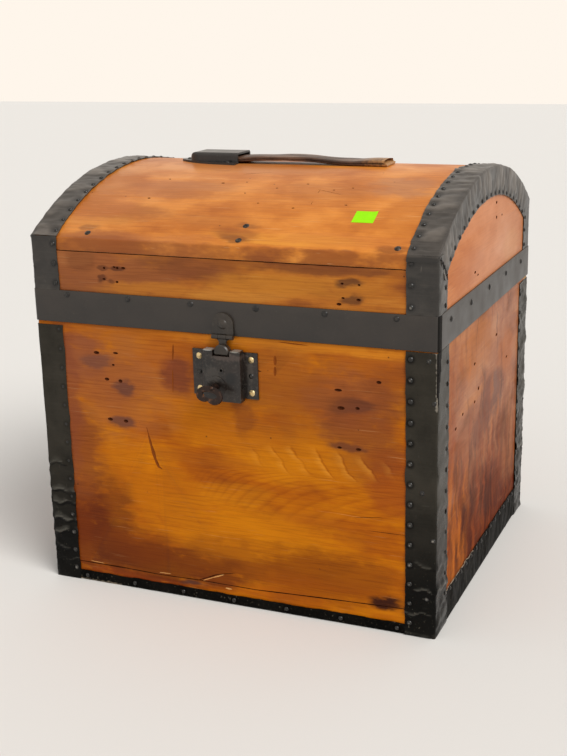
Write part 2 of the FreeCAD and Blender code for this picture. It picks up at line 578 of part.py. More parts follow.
def lock():
    """Back plate, hollow case with its front-open notch, key post and fixings."""
    plate = box(-LOCK_PLATE_W / 2, LOCK_PLATE_W / 2, -WY, PLATE_Y, PLATE_BOTTOM, PLATE_TOP)
    half = CASE_W / 2
    shell = box(-half, half, PLATE_Y, CASE_Y, CASE_BOTTOM, CASE_TOP)
    rounded = [e for e in shell.Edges
               if all(v.Y < CASE_Y + 0.01 for v in e.Vertexes)
               or abs(e.Vertexes[0].Y - e.Vertexes[1].Y) > 1]
    shell = shell.makeFillet(1.0, rounded)
    disc = rod(KEY_X, CASE_Y + 0.2, KEY_Z, V(0, -1, 0), KEYHOLE_DISC_R, KEYHOLE_DISC_T + 0.2)
    ring_z = PLATE_TOP - 0.375 * LOCK_PLATE_H
    ring = rod(0, CASE_Y + 0.2, ring_z, V(0, -1, 0), 2.6, 0.7)
    wall = CASE_WALL
    recess = NOTCH_HALF + wall
    cavity = box(-half + wall, half - wall, PLATE_Y, CASE_Y + wall,
                 CASE_BOTTOM + wall, CASE_TOP - wall)
    cavity = cavity.cut(box(-recess, recess, PLATE_Y, CASE_Y, NOTCH_FLOOR - wall, CASE_TOP))
    notch = box(-NOTCH_HALF, NOTCH_HALF, PLATE_Y, CASE_Y - 2, NOTCH_FLOOR, CASE_TOP + 1)
    keyhole = rod(KEY_X, CASE_Y - 2, KEY_Z, V(0, 1, 0), KEY_STEM_R + KEYHOLE_GAP, 2 + 2 * wall)
    slit_half = KEY_BIT_W / 2 + KEYHOLE_GAP
    slit = box(KEY_X - slit_half, KEY_X + slit_half, CASE_Y - 2, CASE_Y + 2 * wall,
               KEY_Z, KEY_Z - KEY_BIT_R - KEYHOLE_GAP)
    pin_hole = rod(0, CASE_Y - 2, ring_z, V(0, 1, 0), 1.25, 2 + 2 * wall)
    pin_way = rod(-recess - 1, BOLT_PIN_Y, BOLT_PIN_Z, V(1, 0, 0),
                  BOLT_PIN_R + BOLT_PIN_GAP, wall + 2)
    case = fuse([shell, disc, ring])
    for tool in (cavity, notch, keyhole, slit, pin_hole, pin_way):
        case = case.cut(tool)
    screws = []
    rivets = []
    middle = (PLATE_TOP + PLATE_BOTTOM) / 2
    for sx in (-1, 1):
        for z in (PLATE_TOP - LOCK_SCREW_IN, PLATE_BOTTOM + LOCK_SCREW_IN - 0.9):
            point = V(sx * LOCK_SCREW_X, PLATE_Y, z)
            screws.append(placed(SCREW, point, V(0, -1, 0), SLOT_TURN_DEG * len(screws)))
        rivets.append(placed(NAIL, V(sx * LOCK_SCREW_X, PLATE_Y, middle), V(0, -1, 0)))
    post = rod(KEY_X, PLATE_Y, KEY_Z, V(0, -1, 0), KEY_POST_R, CASE_D - 0.9)
    return {"lock_backplate": plate, "lock_case": case, "lock_key_post": post,
            "lock_screws": screws, "lock_rivets": rivets}


def key_and_bolt():
    """Barrel key, drawn about the origin and then turned to its rest, and the bolt it drives."""
    y_in = PLATE_Y - 0.4
    y_out = CASE_Y - KEYHOLE_DISC_T - KEY_OUT
    stem = rod(0, y_in, 0, V(0, -1, 0), KEY_STEM_R, y_in - y_out)
    collar = rod(0, CASE_Y - KEYHOLE_DISC_T - 1.2, 0, V(0, -1, 0), KEY_STEM_R + 1.0, 1.6)
    half_w = KEY_BOW_W / 2
    length = KEY_BOW_L
    lobe = [V(2.6, 0, -1.5), V(0.66 * half_w, 0, 0.3), V(half_w, 0, 0.36 * length),
            V(0.9 * half_w, 0, 0.8 * length), V(0.45 * half_w, 0, length),
            V(0, 0, 0.86 * length)]
    mirror = [V(-p.x, 0, p.z) for p in reversed(lobe)]
    bow = prism([spline(lobe), spline(mirror), Part.makeLine(mirror[-1], lobe[0])],
                V(0, KEY_BOW_T, 0))
    eye = Part.Ellipse(V(0, 0, 0), 0.58 * half_w, 0.21 * length)
    hole = Part.Face(Part.Wire([eye.toShape()])).extrude(V(0, 0, 3 * KEY_BOW_T))
    hole.rotate(V(0, 0, 0), V(1, 0, 0), 90)
    hole.translate(V(0, 2 * KEY_BOW_T, 0.46 * length))
    bow = bow.cut(hole)
    bow.translate(V(0, -KEY_BOW_T / 2, 0))
    bow.rotate(V(0, 0, 0), V(1, 0, 0), 90 + KEY_BOW_DROOP_DEG)
    bow.translate(V(0, y_out, 0))
    tip = Part.makeSphere(KEY_STEM_R, V(0, y_out, 0))
    bit = box(-KEY_BIT_W / 2, KEY_BIT_W / 2, PLATE_Y - 0.5, PLATE_Y - BOLT_T + 0.1, 0, KEY_BIT_R)
    bit.rotate(V(0, 0, 0), V(0, 1, 0), -KEY_TURN_DEG / 2)
    bow.rotate(V(0, 0, 0), V(0, 1, 0), KEY_REST_DEG)
    bore = rod(0, y_in + 1, 0, V(0, -1, 0), KEY_BORE_R, CASE_D + 0.8)
    key = fuse([stem, collar, tip, bow, bit]).cut(bore)
    key.translate(V(KEY_X, 0, KEY_Z))

    y_back = PLATE_Y - SLIDE_GAP
    y_front = y_back - BOLT_T
    low = KEY_Z + BOLT_LOW
    left = -CASE_W / 2 + CASE_WALL + 0.4
    upright_w = 1.8
    pin_top = BOLT_PIN_Z + BOLT_PIN_R
    tip_x = -NOTCH_HALF - 0.4
    talon_x = KEY_X - BOLT_TRAVEL / 2
    bar = box(left, KEY_X + 2.0, y_back, y_front, low, low + 4.4)
    talon = box(talon_x - TALON_W / 2, talon_x + TALON_W / 2, y_back + 1, y_front - 1,
                low - 1, KEY_Z + KEY_BIT_R + 0.4)
    upright = box(left, left + upright_w, y_back, y_front, low, pin_top)
    head = box(left, left + upright_w, y_back, BOLT_PIN_Y - BOLT_PIN_R,
               BOLT_PIN_Z - BOLT_PIN_R, pin_top)
    pin = rod(left, BOLT_PIN_Y, BOLT_PIN_Z, V(1, 0, 0), BOLT_PIN_R, tip_x - left)
    bolt = fuse([bar, upright, head, pin]).cut(talon)
    return {"key": key, "lock_bolt": bolt}


def handle():
    """Hollow loop cap nailed to the crown, and the leather strap that runs out of its mouth."""
    mouth = CAP_X0 + CAP_LEN
    body_x0 = CAP_X0 + CAP_LEAD
    top = CROWN_Z + CAP_H
    foot = CROWN_Z - CAP_SEAT
    half = CAP_W / 2
    nose = [V(body_x0, -half, foot), V(body_x0 + 0.14 * CAP_NOSE, -half, CROWN_Z + 0.45 * CAP_H),
            V(body_x0 + 0.45 * CAP_NOSE, -half, CROWN_Z + 0.86 * CAP_H),
            V(body_x0 + CAP_NOSE, -half, top)]
    side_view = prism([spline(nose), Part.makeLine(nose[-1], V(mouth, -half, top)),
                       Part.makeLine(V(mouth, -half, top), V(mouth, -half, foot)),
                       Part.makeLine(V(mouth, -half, foot), nose[0])], V(0, CAP_W, 0))
    end_view = box(CAP_X0, mouth, -half, half, foot, top)
    long_top = [e for e in end_view.Edges
                if e.BoundBox.ZMin > top - 0.01 and e.BoundBox.YLength < 0.01]
    end_view = end_view.makeFillet(CAP_EDGE_R, long_top)
    plan = box(body_x0, mouth, -half, half, foot, top)
    far_corners = [e for e in plan.Edges
                   if e.BoundBox.ZLength > 1 and e.BoundBox.XMax < body_x0 + 0.01]
    plan = plan.makeFillet(CAP_ROUND, far_corners)
    body = side_view.common(end_view).common(plan)
    wide = FLANGE_W / 2
    outline = [spline([V(mouth, -wide, foot), V(mouth - 0.45 * CAP_LEN, -0.86 * wide, foot),
                       V(CAP_X0 + 0.14 * CAP_LEN, -0.42 * wide, foot), V(CAP_X0, 0, foot),
                       V(CAP_X0 + 0.14 * CAP_LEN, 0.42 * wide, foot),
                       V(mouth - 0.45 * CAP_LEN, 0.86 * wide, foot), V(mouth, wide, foot)]),
               Part.makeLine(V(mouth, wide, foot), V(mouth, -wide, foot))]
    skin = sector(DOME_R, DOME_R + FLANGE_T, -DOME_A, DOME_A, CAP_X0 - 1, mouth)
    flange = prism(outline, V(0, 0, CAP_SEAT + CAP_H)).common(skin)
    dome = sector(DOME_IN_R, DOME_R, -DOME_A, DOME_A, CAP_X0 - 1, mouth + 1)
    cavity = box(body_x0 + CAP_ROUND, mouth + 1, -half + CAP_WALL, half - CAP_WALL,
                 foot - 1, top - CAP_WALL)
    cap = fuse([body.cut(dome), flange]).cut(cavity)

    under = [(mouth - 32.0, 0.30), (mouth, 0.42), (mouth + 22.0, 0.79), (mouth + 44.0, 1.0),
             (mouth + 72.0, 0.79), (mouth + 98.0, 0.26), (STRAP_LAND_X, 0.0)]
    rest = CROWN_Z + REST_GAP
    low = [V(x, -STRAP_W / 2, rest + STRAP_LIFT * k) for x, k in under]
    thick = V(0, 0, STRAP_T)
    lower_curve = spline(low, V(1, 0, 0))
    upper_curve = lower_curve.copy()
    upper_curve.translate(thick)
    end_low = V(STRAP_END_X, -STRAP_W / 2, rest)
    end_high = end_low + thick - V(STRAP_T / 2, 0, 0)
    strap = prism([lower_curve, Part.makeLine(low[-1], end_low), Part.makeLine(end_low, end_high),
                   Part.makeLine(end_high, low[-1] + thick), upper_curve,
                   Part.makeLine(low[0] + thick, low[0])], V(0, STRAP_W, 0))
    nails = [placed(NAIL, on_dome(CAP_X0 + CAP_NAIL_IN, DOME_R + FLANGE_T, 0), V(0, 0, 1))]
    for s in (-1, 1):
        lean = s * math.asin((wide - NAIL_EDGE) / DOME_R)
        point = on_dome(mouth - 2.2 * NAIL_EDGE, DOME_R + FLANGE_T, lean)
        nails.append(placed(NAIL, point, V(0, math.sin(lean), math.cos(lean))))
    return {"handle_cap": cap, "handle_strap": strap, "handle_nails": nails}


def dome_trim():
    """Screws that hold the dome board down, and the blank label on it."""
    edge_y = WY - DOME_SCREW_EDGE
    xs = (DOME_SCREW_IN_LEFT - HALF_W, DOME_SCREW_MID_X, HALF_W - DOME_SCREW_IN_RIGHT)
    spots = [(x, s * edge_y) for s in (-1, 1) for x in xs]
    spots.append((DOME_SCREW_MID_X, DOME_SCREW_SPARE_UP - edge_y))
    screws = []
    for x, y in spots:
        a = math.asin(y / DOME_R)
        outward = V(0, math.sin(a), math.cos(a))
        screws.append(placed(SCREW, on_dome(x, DOME_R, a), outward, SLOT_TURN_DEG * len(screws)))
    a0 = -math.asin((WY - LABEL_IN_Y) / DOME_R)
    x0 = HALF_W - LABEL_IN_X
    label = sector(DOME_R, DOME_R + LABEL_T, a0, a0 + LABEL_L / DOME_R, x0, x0 + LABEL_W)
    return {"dome_screws": screws, "blank_label": label}


def main():
    """Build every piece and write one STEP file for each."""
    parts = {"lid_band": lid_band()}
    for group in (base_boards(), lid_boards(), corner_bindings(), bottom_bindings(),
                  arch_bindings(), base_nails(), lid_nails(), wall_nails(), hinges(), hasp(),
                  lock(), key_and_bolt(), handle(), dome_trim()):
        parts.update(group)
    os.makedirs("parts", exist_ok=True)
    for name, shape in parts.items():
        if isinstance(shape, list):
            shape = Part.makeCompound(shape)
        shape.exportStep("parts/%s.step" % name)


main()
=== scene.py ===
"""Dome top trunk: finish of its boards, bindings, fastenings, lock and handle.

Sizes in the classes are millimetres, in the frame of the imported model: +Z up, front
face towards -Y, origin at the centre of the underside. Blender works in metres.
"""

import logging
import math
import random
from collections.abc import Callable, Iterator
from contextlib import contextmanager
from dataclasses import dataclass
from enum import Enum
from functools import partial

import bmesh
import bpy
from mathutils import Matrix, Vector
from mathutils.kdtree import KDTree


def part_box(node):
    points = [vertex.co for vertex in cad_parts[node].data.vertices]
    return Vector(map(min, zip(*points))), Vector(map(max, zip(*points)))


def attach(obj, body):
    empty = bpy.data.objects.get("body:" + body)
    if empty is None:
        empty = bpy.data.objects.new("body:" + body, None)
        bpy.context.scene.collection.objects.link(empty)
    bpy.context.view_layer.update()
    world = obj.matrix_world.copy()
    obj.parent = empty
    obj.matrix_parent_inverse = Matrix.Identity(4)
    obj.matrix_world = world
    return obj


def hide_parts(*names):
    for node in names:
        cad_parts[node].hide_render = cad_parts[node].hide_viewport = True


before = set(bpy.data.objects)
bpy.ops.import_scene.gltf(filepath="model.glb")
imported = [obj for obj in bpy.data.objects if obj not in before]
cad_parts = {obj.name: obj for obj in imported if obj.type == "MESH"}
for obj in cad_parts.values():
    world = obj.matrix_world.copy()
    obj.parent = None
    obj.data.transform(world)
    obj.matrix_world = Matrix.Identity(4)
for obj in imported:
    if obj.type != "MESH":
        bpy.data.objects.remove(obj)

log = logging.getLogger("trunk")

Socket = bpy.types.NodeSocket
Piece = bpy.types.Object
Rim = tuple[str, Callable[[Vector], bool]]

MM = 0.001
HALF_W, HALF_D = 190.5, 165.0
WALL_X, WALL_Y = 189.7, 164.2
BAND_TOP, SEAM_Z, KNEE_Z = 285.4, 321.8, 333.5
DOME_R, DOME_CZ, DOME_IN_R = 292.2, 91.8, 280.2
DOME_A = math.radians(34.19)
SHEET_T = 0.8
WIDEST = 192.59
FLOOR_GAP = 1.2
CORNERS = {"front_left": (-1, -1), "front_right": (1, -1), "rear_left": (-1, 1),
           "rear_right": (1, 1)}


# ---- shop tools


def point(x: float, y: float, z: float) -> Vector:
    """A place given in millimetres, in metres."""
    return Vector((x, y, z)) * MM


def clamp(value: float, low: float = 0.0, high: float = 1.0) -> float:
    """A value held between two limits."""
    return min(high, max(low, value))


def take(*pieces: Piece) -> None:
    """Select these pieces alone; the first is the active one."""
    bpy.ops.object.select_all(action="DESELECT")
    for piece in pieces:
        piece.select_set(True)
    bpy.context.view_layer.objects.active = pieces[0]


@contextmanager
def editing(piece: Piece) -> Iterator[None]:
    """Edit mode on one piece, with nothing of it selected at the start.

    Args:
        piece: mesh to edit.
    """
    take(piece)
    bpy.ops.object.mode_set(mode="EDIT")
    bpy.ops.mesh.select_mode(type="VERT")
    bpy.ops.mesh.select_all(action="DESELECT")
    yield
    bpy.ops.object.mode_set(mode="OBJECT")


def pick(kind: str, test: Callable[[Vector, Vector], bool]) -> None:
    """Select the parts of the mesh in edit mode that pass a test.

    Args:
        kind: VERT, EDGE or FACE.
        test: takes a part's middle in millimetres and its normal, or an edge's direction.
    """
    bpy.ops.mesh.select_mode(type=kind)
    bpy.ops.mesh.select_all(action="DESELECT")
    mesh = bmesh.from_edit_mesh(bpy.context.edit_object.data)
    if kind == "VERT":
        parts = [(v, v.co, v.normal) for v in mesh.verts]
    elif kind == "EDGE":
        parts = [(e, (e.verts[0].co + e.verts[1].co) / 2,
                  (e.verts[1].co - e.verts[0].co).normalized()) for e in mesh.edges]
    else:
        parts = [(f, f.calc_center_median(), f.normal) for f in mesh.faces]
    for part, middle, way in parts:
        if test(middle / MM, way):
            part.select_set(True)
    mesh.select_flush_mode()
    bmesh.update_edit_mesh(bpy.context.edit_object.data)


def turn(angle: float, axis: str, centre: Vector) -> None:
    """Turn the selection right-handed about an axis through a place, in edit mode."""
    bpy.ops.transform.rotate(value=-angle, orient_axis=axis, orient_type="GLOBAL",
                             center_override=centre)


def cut(place: Vector, normal: object, **trim: bool) -> None:
    """Bisect the whole mesh in edit mode, and trim the side that the options name."""
    bpy.ops.mesh.select_all(action="SELECT")
    bpy.ops.mesh.bisect(plane_co=place, plane_no=normal, **trim)


def extrude(way: Vector) -> None:
    """Extrude the selection by a way in metres, in edit mode."""
    bpy.ops.mesh.extrude_region_move(TRANSFORM_OT_translate={"value": way})


def settle(piece: Piece, name: str) -> Piece:
    """Name a piece and put its place into its mesh.

    Args:
        piece: the piece.
        name: its name, also given to its mesh.

    Returns:
        The piece.
    """
    take(piece)
    bpy.ops.object.transform_apply(location=True, rotation=True, scale=True)
    piece.name = piece.data.name = name
    return piece


def sized(name: str, x: float, y: float, z: float) -> Piece:
    """Stretch the primitive just added, and settle it under its name."""
    bpy.context.object.scale = (x, y, z)
    return settle(bpy.context.object, name)


def modify(piece: Piece, kind: str, **settings: object) -> None:
    """Add a modifier with its settings and apply it."""
    take(piece)
    modifier = piece.modifiers.new(kind.title(), kind)
    for name, value in settings.items():
        setattr(modifier, name, value)
    bpy.ops.object.modifier_apply(modifier=modifier.name)


def smooth(piece: Piece, degrees: float) -> None:
    """Shade smooth, with sharp edges past an angle."""
    take(piece)
    bpy.ops.object.shade_smooth_by_angle(angle=math.radians(degrees))


def block(low: Vector, high: Vector, name: str) -> Piece:
    """Rough-sawn block between two corners in metres, to be shaped further."""
    bpy.ops.mesh.primitive_cube_add(size=1, location=(low + high) / 2)
    return sized(name, *(high - low))


def mark(piece: Piece, name: str, values: list[float]) -> None:
    """Give each place of a piece a value, which its finish reads by name."""
    attribute = piece.data.attributes.new(name, "FLOAT", "POINT")
    attribute.data.foreach_set("value", values)


def hand_in(piece: Piece, sharp: float | None, body: str, node: str) -> None:
    """Put a finished piece in place of its CAD node, and report it.

    Args:
        piece: the piece.
        sharp: angle past which its edges are sharp, in degrees, if it isn't smooth yet.
        body: body that it moves with.
        node: CAD node whose place it takes; the node is hidden.
    """
    if sharp is not None:
        smooth(piece, sharp)
    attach(piece, body)
    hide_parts(node)
    log.info("%s: %d faces", piece.name, len(piece.data.polygons))


def heads(node: str) -> list[tuple[Vector, Vector]]:
    """Places and directions of the nail heads in a CAD node.

    Args:
        node: name of the CAD node, one separate solid per nail.

    Returns:
        The top of each head in metres, and its direction out of the trunk.
    """
    mesh = bmesh.new()
    mesh.from_mesh(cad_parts[node].data)
    bmesh.ops.remove_doubles(mesh, verts=mesh.verts, dist=1e-6)
    seen = set()
    found = []
    for start in mesh.verts:
        if start.index in seen:
            continue
        group, queue = [], [start]
        seen.add(start.index)
        while queue:
            vert = queue.pop()
            group.append(vert.co.copy())
            for edge in vert.link_edges:
                other = edge.other_vert(vert)
                if other.index not in seen:
                    seen.add(other.index)
                    queue.append(other)
        middle = sum(group, Vector()) / len(group)
        ways = (Vector((math.copysign(1, middle.x), 0, 0)),
                Vector((0, math.copysign(1, middle.y), 0)),
                Vector((0, middle.y, middle.z - DOME_CZ * MM)).normalized())
        spans = [[c.dot(way) for c in group] for way in ways]
        long = max(range(3), key=lambda i: max(spans[i]) - min(spans[i]))
        out = ways[long]
        high = max(spans[long])
        ring = [c for c in group if c.dot(out) > high - 1.2 * MM]
        centre = sum(ring, Vector()) / len(ring)
        found.append((centre + out * (high - centre.dot(out)), out))
    mesh.free()
    return found


# ---- shader tools


def hue(code: str) -> tuple[float, float, float, float]:
    """Linear colour of an sRGB hex code such as A65818."""
    parts = [int(code[i:i + 2], 16) / 255 for i in (0, 2, 4)]
    return (*((c / 12.92 if c <= 0.04045 else ((c + 0.055) / 1.055) ** 2.4)
              for c in parts), 1.0)


@dataclass(frozen=True)
class Spot:
    """Soft-edged patch of another colour, or a swelling of the grain.

    The numbers are its middle along and across the grain, its reach each way in
    millimetres, its colour, and how much it shows.
    """

    along: float
    across: float
    long: float
    wide: float
    tone: str = ""
    share: float = 1.0


def patches(*rows: tuple) -> tuple[Spot, ...]:
    """Spots from rows of their numbers."""
    return tuple(Spot(*row) for row in rows)


class Nodes:
    """Node tree of a finish or of the room."""

    def __init__(self, tree: bpy.types.NodeTree) -> None:
        """Take a tree and clear it."""
        self.tree = tree
        tree.nodes.clear()

    def add(self, kind: str, *values: object, out: str = "",
            stops: tuple[tuple[float, str], ...] = (), **options: object) -> Socket | None:
        """Add a node with its settings and links.

        Args:
            kind: node type without its ShaderNode prefix, and its operation after a dot.
            values: what the inputs take, in the order that the node shows them: a value,
                a hex colour, or the output that the input is linked from.
            out: name of the output that is asked for; the first one, when left out.
            stops: places and hex colours of a colour ramp.
            options: inputs by name, in capitals and with "_" for a space, and settings.

        Returns:
            The output asked for.
        """
        kind, _, operation = kind.partition(".")
        node = self.tree.nodes.new("ShaderNode" + kind)
        if operation:
            node.operation = operation
        named = {name: value for name, value in options.items() if name[0].isupper()}
        for name in options:
            if name not in named:
                setattr(node, name, options[name])
        if stops:
            ramp = node.color_ramp.elements
            ramp[0].position, ramp[1].position = stops[0][0], stops[-1][0]
            for place, _ in stops[1:-1]:
                ramp.new(place)
            for element, (_, code) in zip(ramp, stops):
                element.color = hue(code)
        shown = [socket for socket in node.inputs if socket.enabled]
        for socket, value in [*zip(shown, values), *(
                (node.inputs[name.replace("_", " ")], named[name]) for name in named)]:
            if isinstance(value, Socket):
                self.tree.links.new(value, socket)
            else:
                socket.default_value = hue(value) if isinstance(value, str) else value
        return next((s for s in node.outputs if s.enabled and out in ("", s.name)), None)

    def millimetres(self) -> Socket:
        """Object coordinates in millimetres."""
        return self.add("Mapping", self.add("TexCoord", out="Object"),
                        Scale=(1 / MM, 1 / MM, 1 / MM))

    def close(self, **inputs: object) -> None:
        """Shade with one Principled shader, its inputs by name."""
        self.add("OutputMaterial", self.add("BsdfPrincipled", **inputs))

    def noise(self, place: Socket, size: tuple[float, float, float], detail: float = 3.0,
              shift: float = 0.0) -> Socket:
        """Cloudy pattern of a real size.

        Args:
            place: coordinates in millimetres.
            size: millimetres per cloud along the three axes.
            detail: octaves of finer cloud.
            shift: moves the pattern, so that two of them differ.

        Returns:
            Values about 0.5.
        """
        spread = self.add("Mapping", place, (shift, shift * 0.7, -shift),
                          Scale=tuple(1 / s for s in size))
        return self.add("TexNoise", spread, Scale=1.0, Detail=detail, Roughness=0.55,
                        out="Fac")

    def patch(self, place: Socket, spot: Spot) -> Socket:
        """Strength of one soft patch, 1 at its middle and 0 past its reach."""
        local = self.add("Mapping", place, (spot.along, spot.across, 0),
                         Scale=(spot.long, spot.wide, 1e5), vector_type="TEXTURE")
        return self.add("TexGradient", local, gradient_type="SPHERICAL", out="Fac")

    def tint(self, colour: Socket | str, tone: Socket | str, pattern: Socket,
             low: float = 0.0, high: float = 1.0, most: float = 1.0,
             how: str = "MIX") -> Socket:
        """Lay a tone over a colour where a pattern is strong.

        Args:
            colour: the colour underneath, an output or a hex code.
            tone: the tone laid over it, an output or a hex code.
            pattern: what says where it shows.
            low: level of the pattern at which the tone begins to show.
            high: level at which it shows most.
            most: how much it shows there.
            how: blend type.

        Returns:
            The tinted colour.
        """
        share = self.add("MapRange", pattern, low, high, 0.0, most)
        return self.add("Mix", share, colour, tone, data_type="RGBA", blend_type=how)


@dataclass(frozen=True)
class Finish:
    """A finish of real material, by its name."""

    name: str

    def draw(self, nodes: Nodes) -> None:
        """Draw what the eye gets of it in a node tree."""
        raise NotImplementedError

    def make(self) -> bpy.types.Material:
        """Build the material.

        Returns:
            The material.
        """
        material = bpy.data.materials.new(self.name)
        material.use_nodes = True
        self.draw(Nodes(material.node_tree))
        return material


# ---- wood


class Grain(Enum):
    """How a board's grain lies: the axes along it, across its face and through it."""

    FACE = ("X", "Z", "Y")
    END = ("Y", "Z", "X")
    TOP = ("X", "Y", "Z")

    def lay(self, nodes: Nodes) -> Socket:
        """Coordinates along, across and through the grain, in millimetres."""
        split = nodes.add("SeparateXYZ", nodes.millimetres()).node.outputs
        return nodes.add("CombineXYZ", *(split[axis] for axis in self.value))


@dataclass(frozen=True)
class Fan:
    """Curved latewood lines that rise from a foot and crowd together under a top line.

    left is where they start along the grain; foot and top are heights across it; reach
    is the patch that shows them; rate and lean set their curve: how fast they part
    along the grain, per millimetre, and how steeply they rise.
    """

    left: float
    foot: float
    top: float
    reach: Spot
    step: float = 0.4
    rate: float = 0.0219
    lean: float = 2.857
    margin: float = 30.0

    def lines(self, nodes: Nodes, bent: Socket) -> tuple[Socket, Socket]:
        """Draw the lines.

        Args:
            nodes: node tree.
            bent: coordinates along, across and through the grain.

        Returns:
            0 to 1 across each line, and how much the fan shows.
        """
        add = nodes.add
        split = add("SeparateXYZ", bent).node.outputs
        along = add("Math.MULTIPLY_ADD", split["X"], self.rate, 1 - self.rate * self.left)
        along = add("Math.LOGARITHM", add("Math.MAXIMUM", along, 0.05), math.e)
        under = add("MapRange", split["Y"], self.foot - self.margin, self.top,
                    1 + self.margin / (self.top - self.foot), 0.03)
        under = add("Math.LOGARITHM", under, math.e)
        line = add("Math.MULTIPLY_ADD", along, self.lean, under)
        part = add("Math.FRACT", add("Math.DIVIDE", line, self.step))
        near = add("MapRange", nodes.patch(bent, self.reach), 0.0, 0.35)
        below = add("MapRange", split["Y"], self.top + 1, self.top - 3)
        return part, add("Math.MULTIPLY", near, below)


@dataclass(frozen=True)
class ShellackedPine(Finish):
    """Old pine, planed smooth and finished with amber shellac rubbed on by hand.

    The eye gets a clear golden to red-brown body in soft clouds, thin darker latewood
    lines that run into arches where the board is flat-sawn, short feathered ripples
    beside them, purple-brown stains, fine fibres and a satin gloss. Pine's fibres are
    0.04 mm wide, too fine to show, and are drawn as bundles of 1.25 mm.
    """

    grain: Grain
    tones: tuple[str, str, str, str]          # deep, brown, gold, pale
    spots: tuple[Spot, ...] = ()
    swells: tuple[Spot, ...] = ()
    feathers: tuple[Spot, ...] = ()
    scrapes: float = 0.15
    cloud_mm: tuple[float, float] = (70.0, 34.0)
    ring_mm: float = 6.0
    ring_share: float = 0.3
    seed: float = 0.0
    gloss: float = 0.38
    dull: Spot | None = None
    fibres: float = 0.32
    flames: tuple[Spot, ...] = ()
    fan: Fan | None = None
    ior: float = 1.27

    def warped(self, nodes: Nodes, place: Socket, size: float, reach: float) -> Socket:
        """Coordinates pushed about by soft clouds.

        Args:
            nodes: node tree.
            place: coordinates along, across and through the grain.
            size: size of the clouds in millimetres.
            reach: how far a place moves at most across the grain, in millimetres.

        Returns:
            The moved coordinates.
        """
        spread = nodes.add("Mapping", place, (self.seed, 0, 0),
                           Scale=(0.5 / size, 1 / size, 1 / size))
        cloud = nodes.add("TexNoise", spread, Scale=1.0, Detail=4.0, Roughness=0.6,
                          out="Color")
        push = nodes.add("VectorMath.MULTIPLY_ADD", cloud, (reach * 4, reach * 2, 0),
                         (-reach * 2, -reach, 0))
        return nodes.add("VectorMath.ADD", place, push)

    def rings(self, nodes: Nodes, place: Socket) -> Socket:
        """Latewood lines: a slow rise and a sharp fall across each year's growth.

        Args:
            nodes: node tree.
            place: coordinates along, across and through the grain.

        Returns:
            0 in early wood to 1 in late wood.
        """
        add = nodes.add
        bent = self.warped(nodes, place, 34.0, 3.0)
        height = add("SeparateXYZ", bent, out="Y")
        for swell in self.swells:
            near = nodes.patch(bent, swell)
            soft = add("MapRange", near, interpolation_type="SMOOTHSTEP")
            height = add("Math.MULTIPLY_ADD", soft, -swell.share, height)
        wobble = nodes.noise(place, (24.0, 30.0, 40.0), 4.0, self.seed)
        height = add("Math.MULTIPLY_ADD", wobble, 3.0, height)
        part = add("Math.FRACT", add("Math.DIVIDE", height, self.ring_mm))
        line = add("ValToRGB", part, stops=(
            (0.0, "000000"), (0.55, "181818"), (0.86, "FFFFFF"), (0.94, "A0A0A0"),
            (1.0, "000000")))
        seen = nodes.noise(place, (90, 34, 50), 3.0, self.seed + 21)
        return add("Math.MULTIPLY", line, add("MapRange", seen, 0.4, 0.66, 0.05, 0.55))

    def ripples(self, nodes: Nodes, place: Socket) -> list[Socket]:
        """Feathered ripples: a row of leaning steps, each a pale lip over a soft shade.

        Args:
            nodes: node tree.
            place: coordinates along, across and through the grain.

        Returns:
            The lips and the shades, both 0 outside their patches.
        """
        add = nodes.add
        bent = self.warped(nodes, place, 17.0, 4.0)
        split = add("SeparateXYZ", bent).node.outputs
        sums: list[Socket | float] = [0.0, 0.0]
        for spot in self.feathers:
            foot = spot.across - spot.wide
            rise = add("MapRange", split["Y"], foot, foot + 2 * spot.wide)
            lean = add("Math.MULTIPLY_ADD", add("Math.POWER", rise, 0.6), 24.0, split["X"])
            step = add("Math.FRACT", add("Math.DIVIDE", lean, spot.share))
            seen = nodes.noise(place, (17, 13, 20), 2.0, self.seed + 2)
            near = add("Math.MULTIPLY", add("MapRange", nodes.patch(bent, spot), 0.0, 0.4),
                       add("MapRange", seen, 0.3, 0.55, 0.25, 1.0))
            for i, stops in enumerate((
                    ((0.0, "404040"), (0.08, "000000"), (0.6, "000000"), (0.93, "FFFFFF"),
                     (1.0, "404040")),
                    ((0.0, "A0A0A0"), (0.05, "FFFFFF"), (0.12, "808080"), (0.6, "000000"),
                     (1.0, "000000")))):
                part = add("Math.MULTIPLY", add("ValToRGB", step, stops=stops), near)
                sums[i] = add("Math.MAXIMUM", sums[i], part)
        return sums

    def stained(self, nodes: Nodes, place: Socket, colour: Socket,
                streak: Socket) -> Socket:
        """Spots and flames laid over the wood's own colour, with ragged edges.

        Args:
            nodes: node tree.
            place: coordinates along, across and through the grain.
            colour: the wood's own colour.
            streak: long streaks that break the edges up.

        Returns:
            The stained colour.
        """
        add = nodes.add
        loose = self.warped(nodes, place, 26.0, 8.0)
        ragged = nodes.noise(self.warped(nodes, place, 20.0, 5.0), (17.0, 10.0, 10.0), 5.0,
                             self.seed + 29)
        ragged = add("MapRange", add("Math.MULTIPLY_ADD", streak, 0.5, ragged),
                     0.45, 1.05, 0.4, 1.75)
        for spot in self.spots:
            near = add("Math.MULTIPLY", nodes.patch(loose, spot), ragged)
            share = add("MapRange", near, 0.02, 0.6, 0.0, spot.share,
                        interpolation_type="SMOOTHSTEP")
            colour = add("Mix", share, colour, spot.tone, data_type="RGBA")
        for number, spot in enumerate(self.flames):
            tongue = nodes.noise(loose, (11.0, 60.0, 9.0), 1.5, self.seed + 41 + 7 * number)
            near = add("Math.MULTIPLY_ADD", nodes.patch(place, spot), 0.34, tongue)
            colour = nodes.tint(colour, spot.tone, near, 0.58, 0.86, spot.share)
        return colour

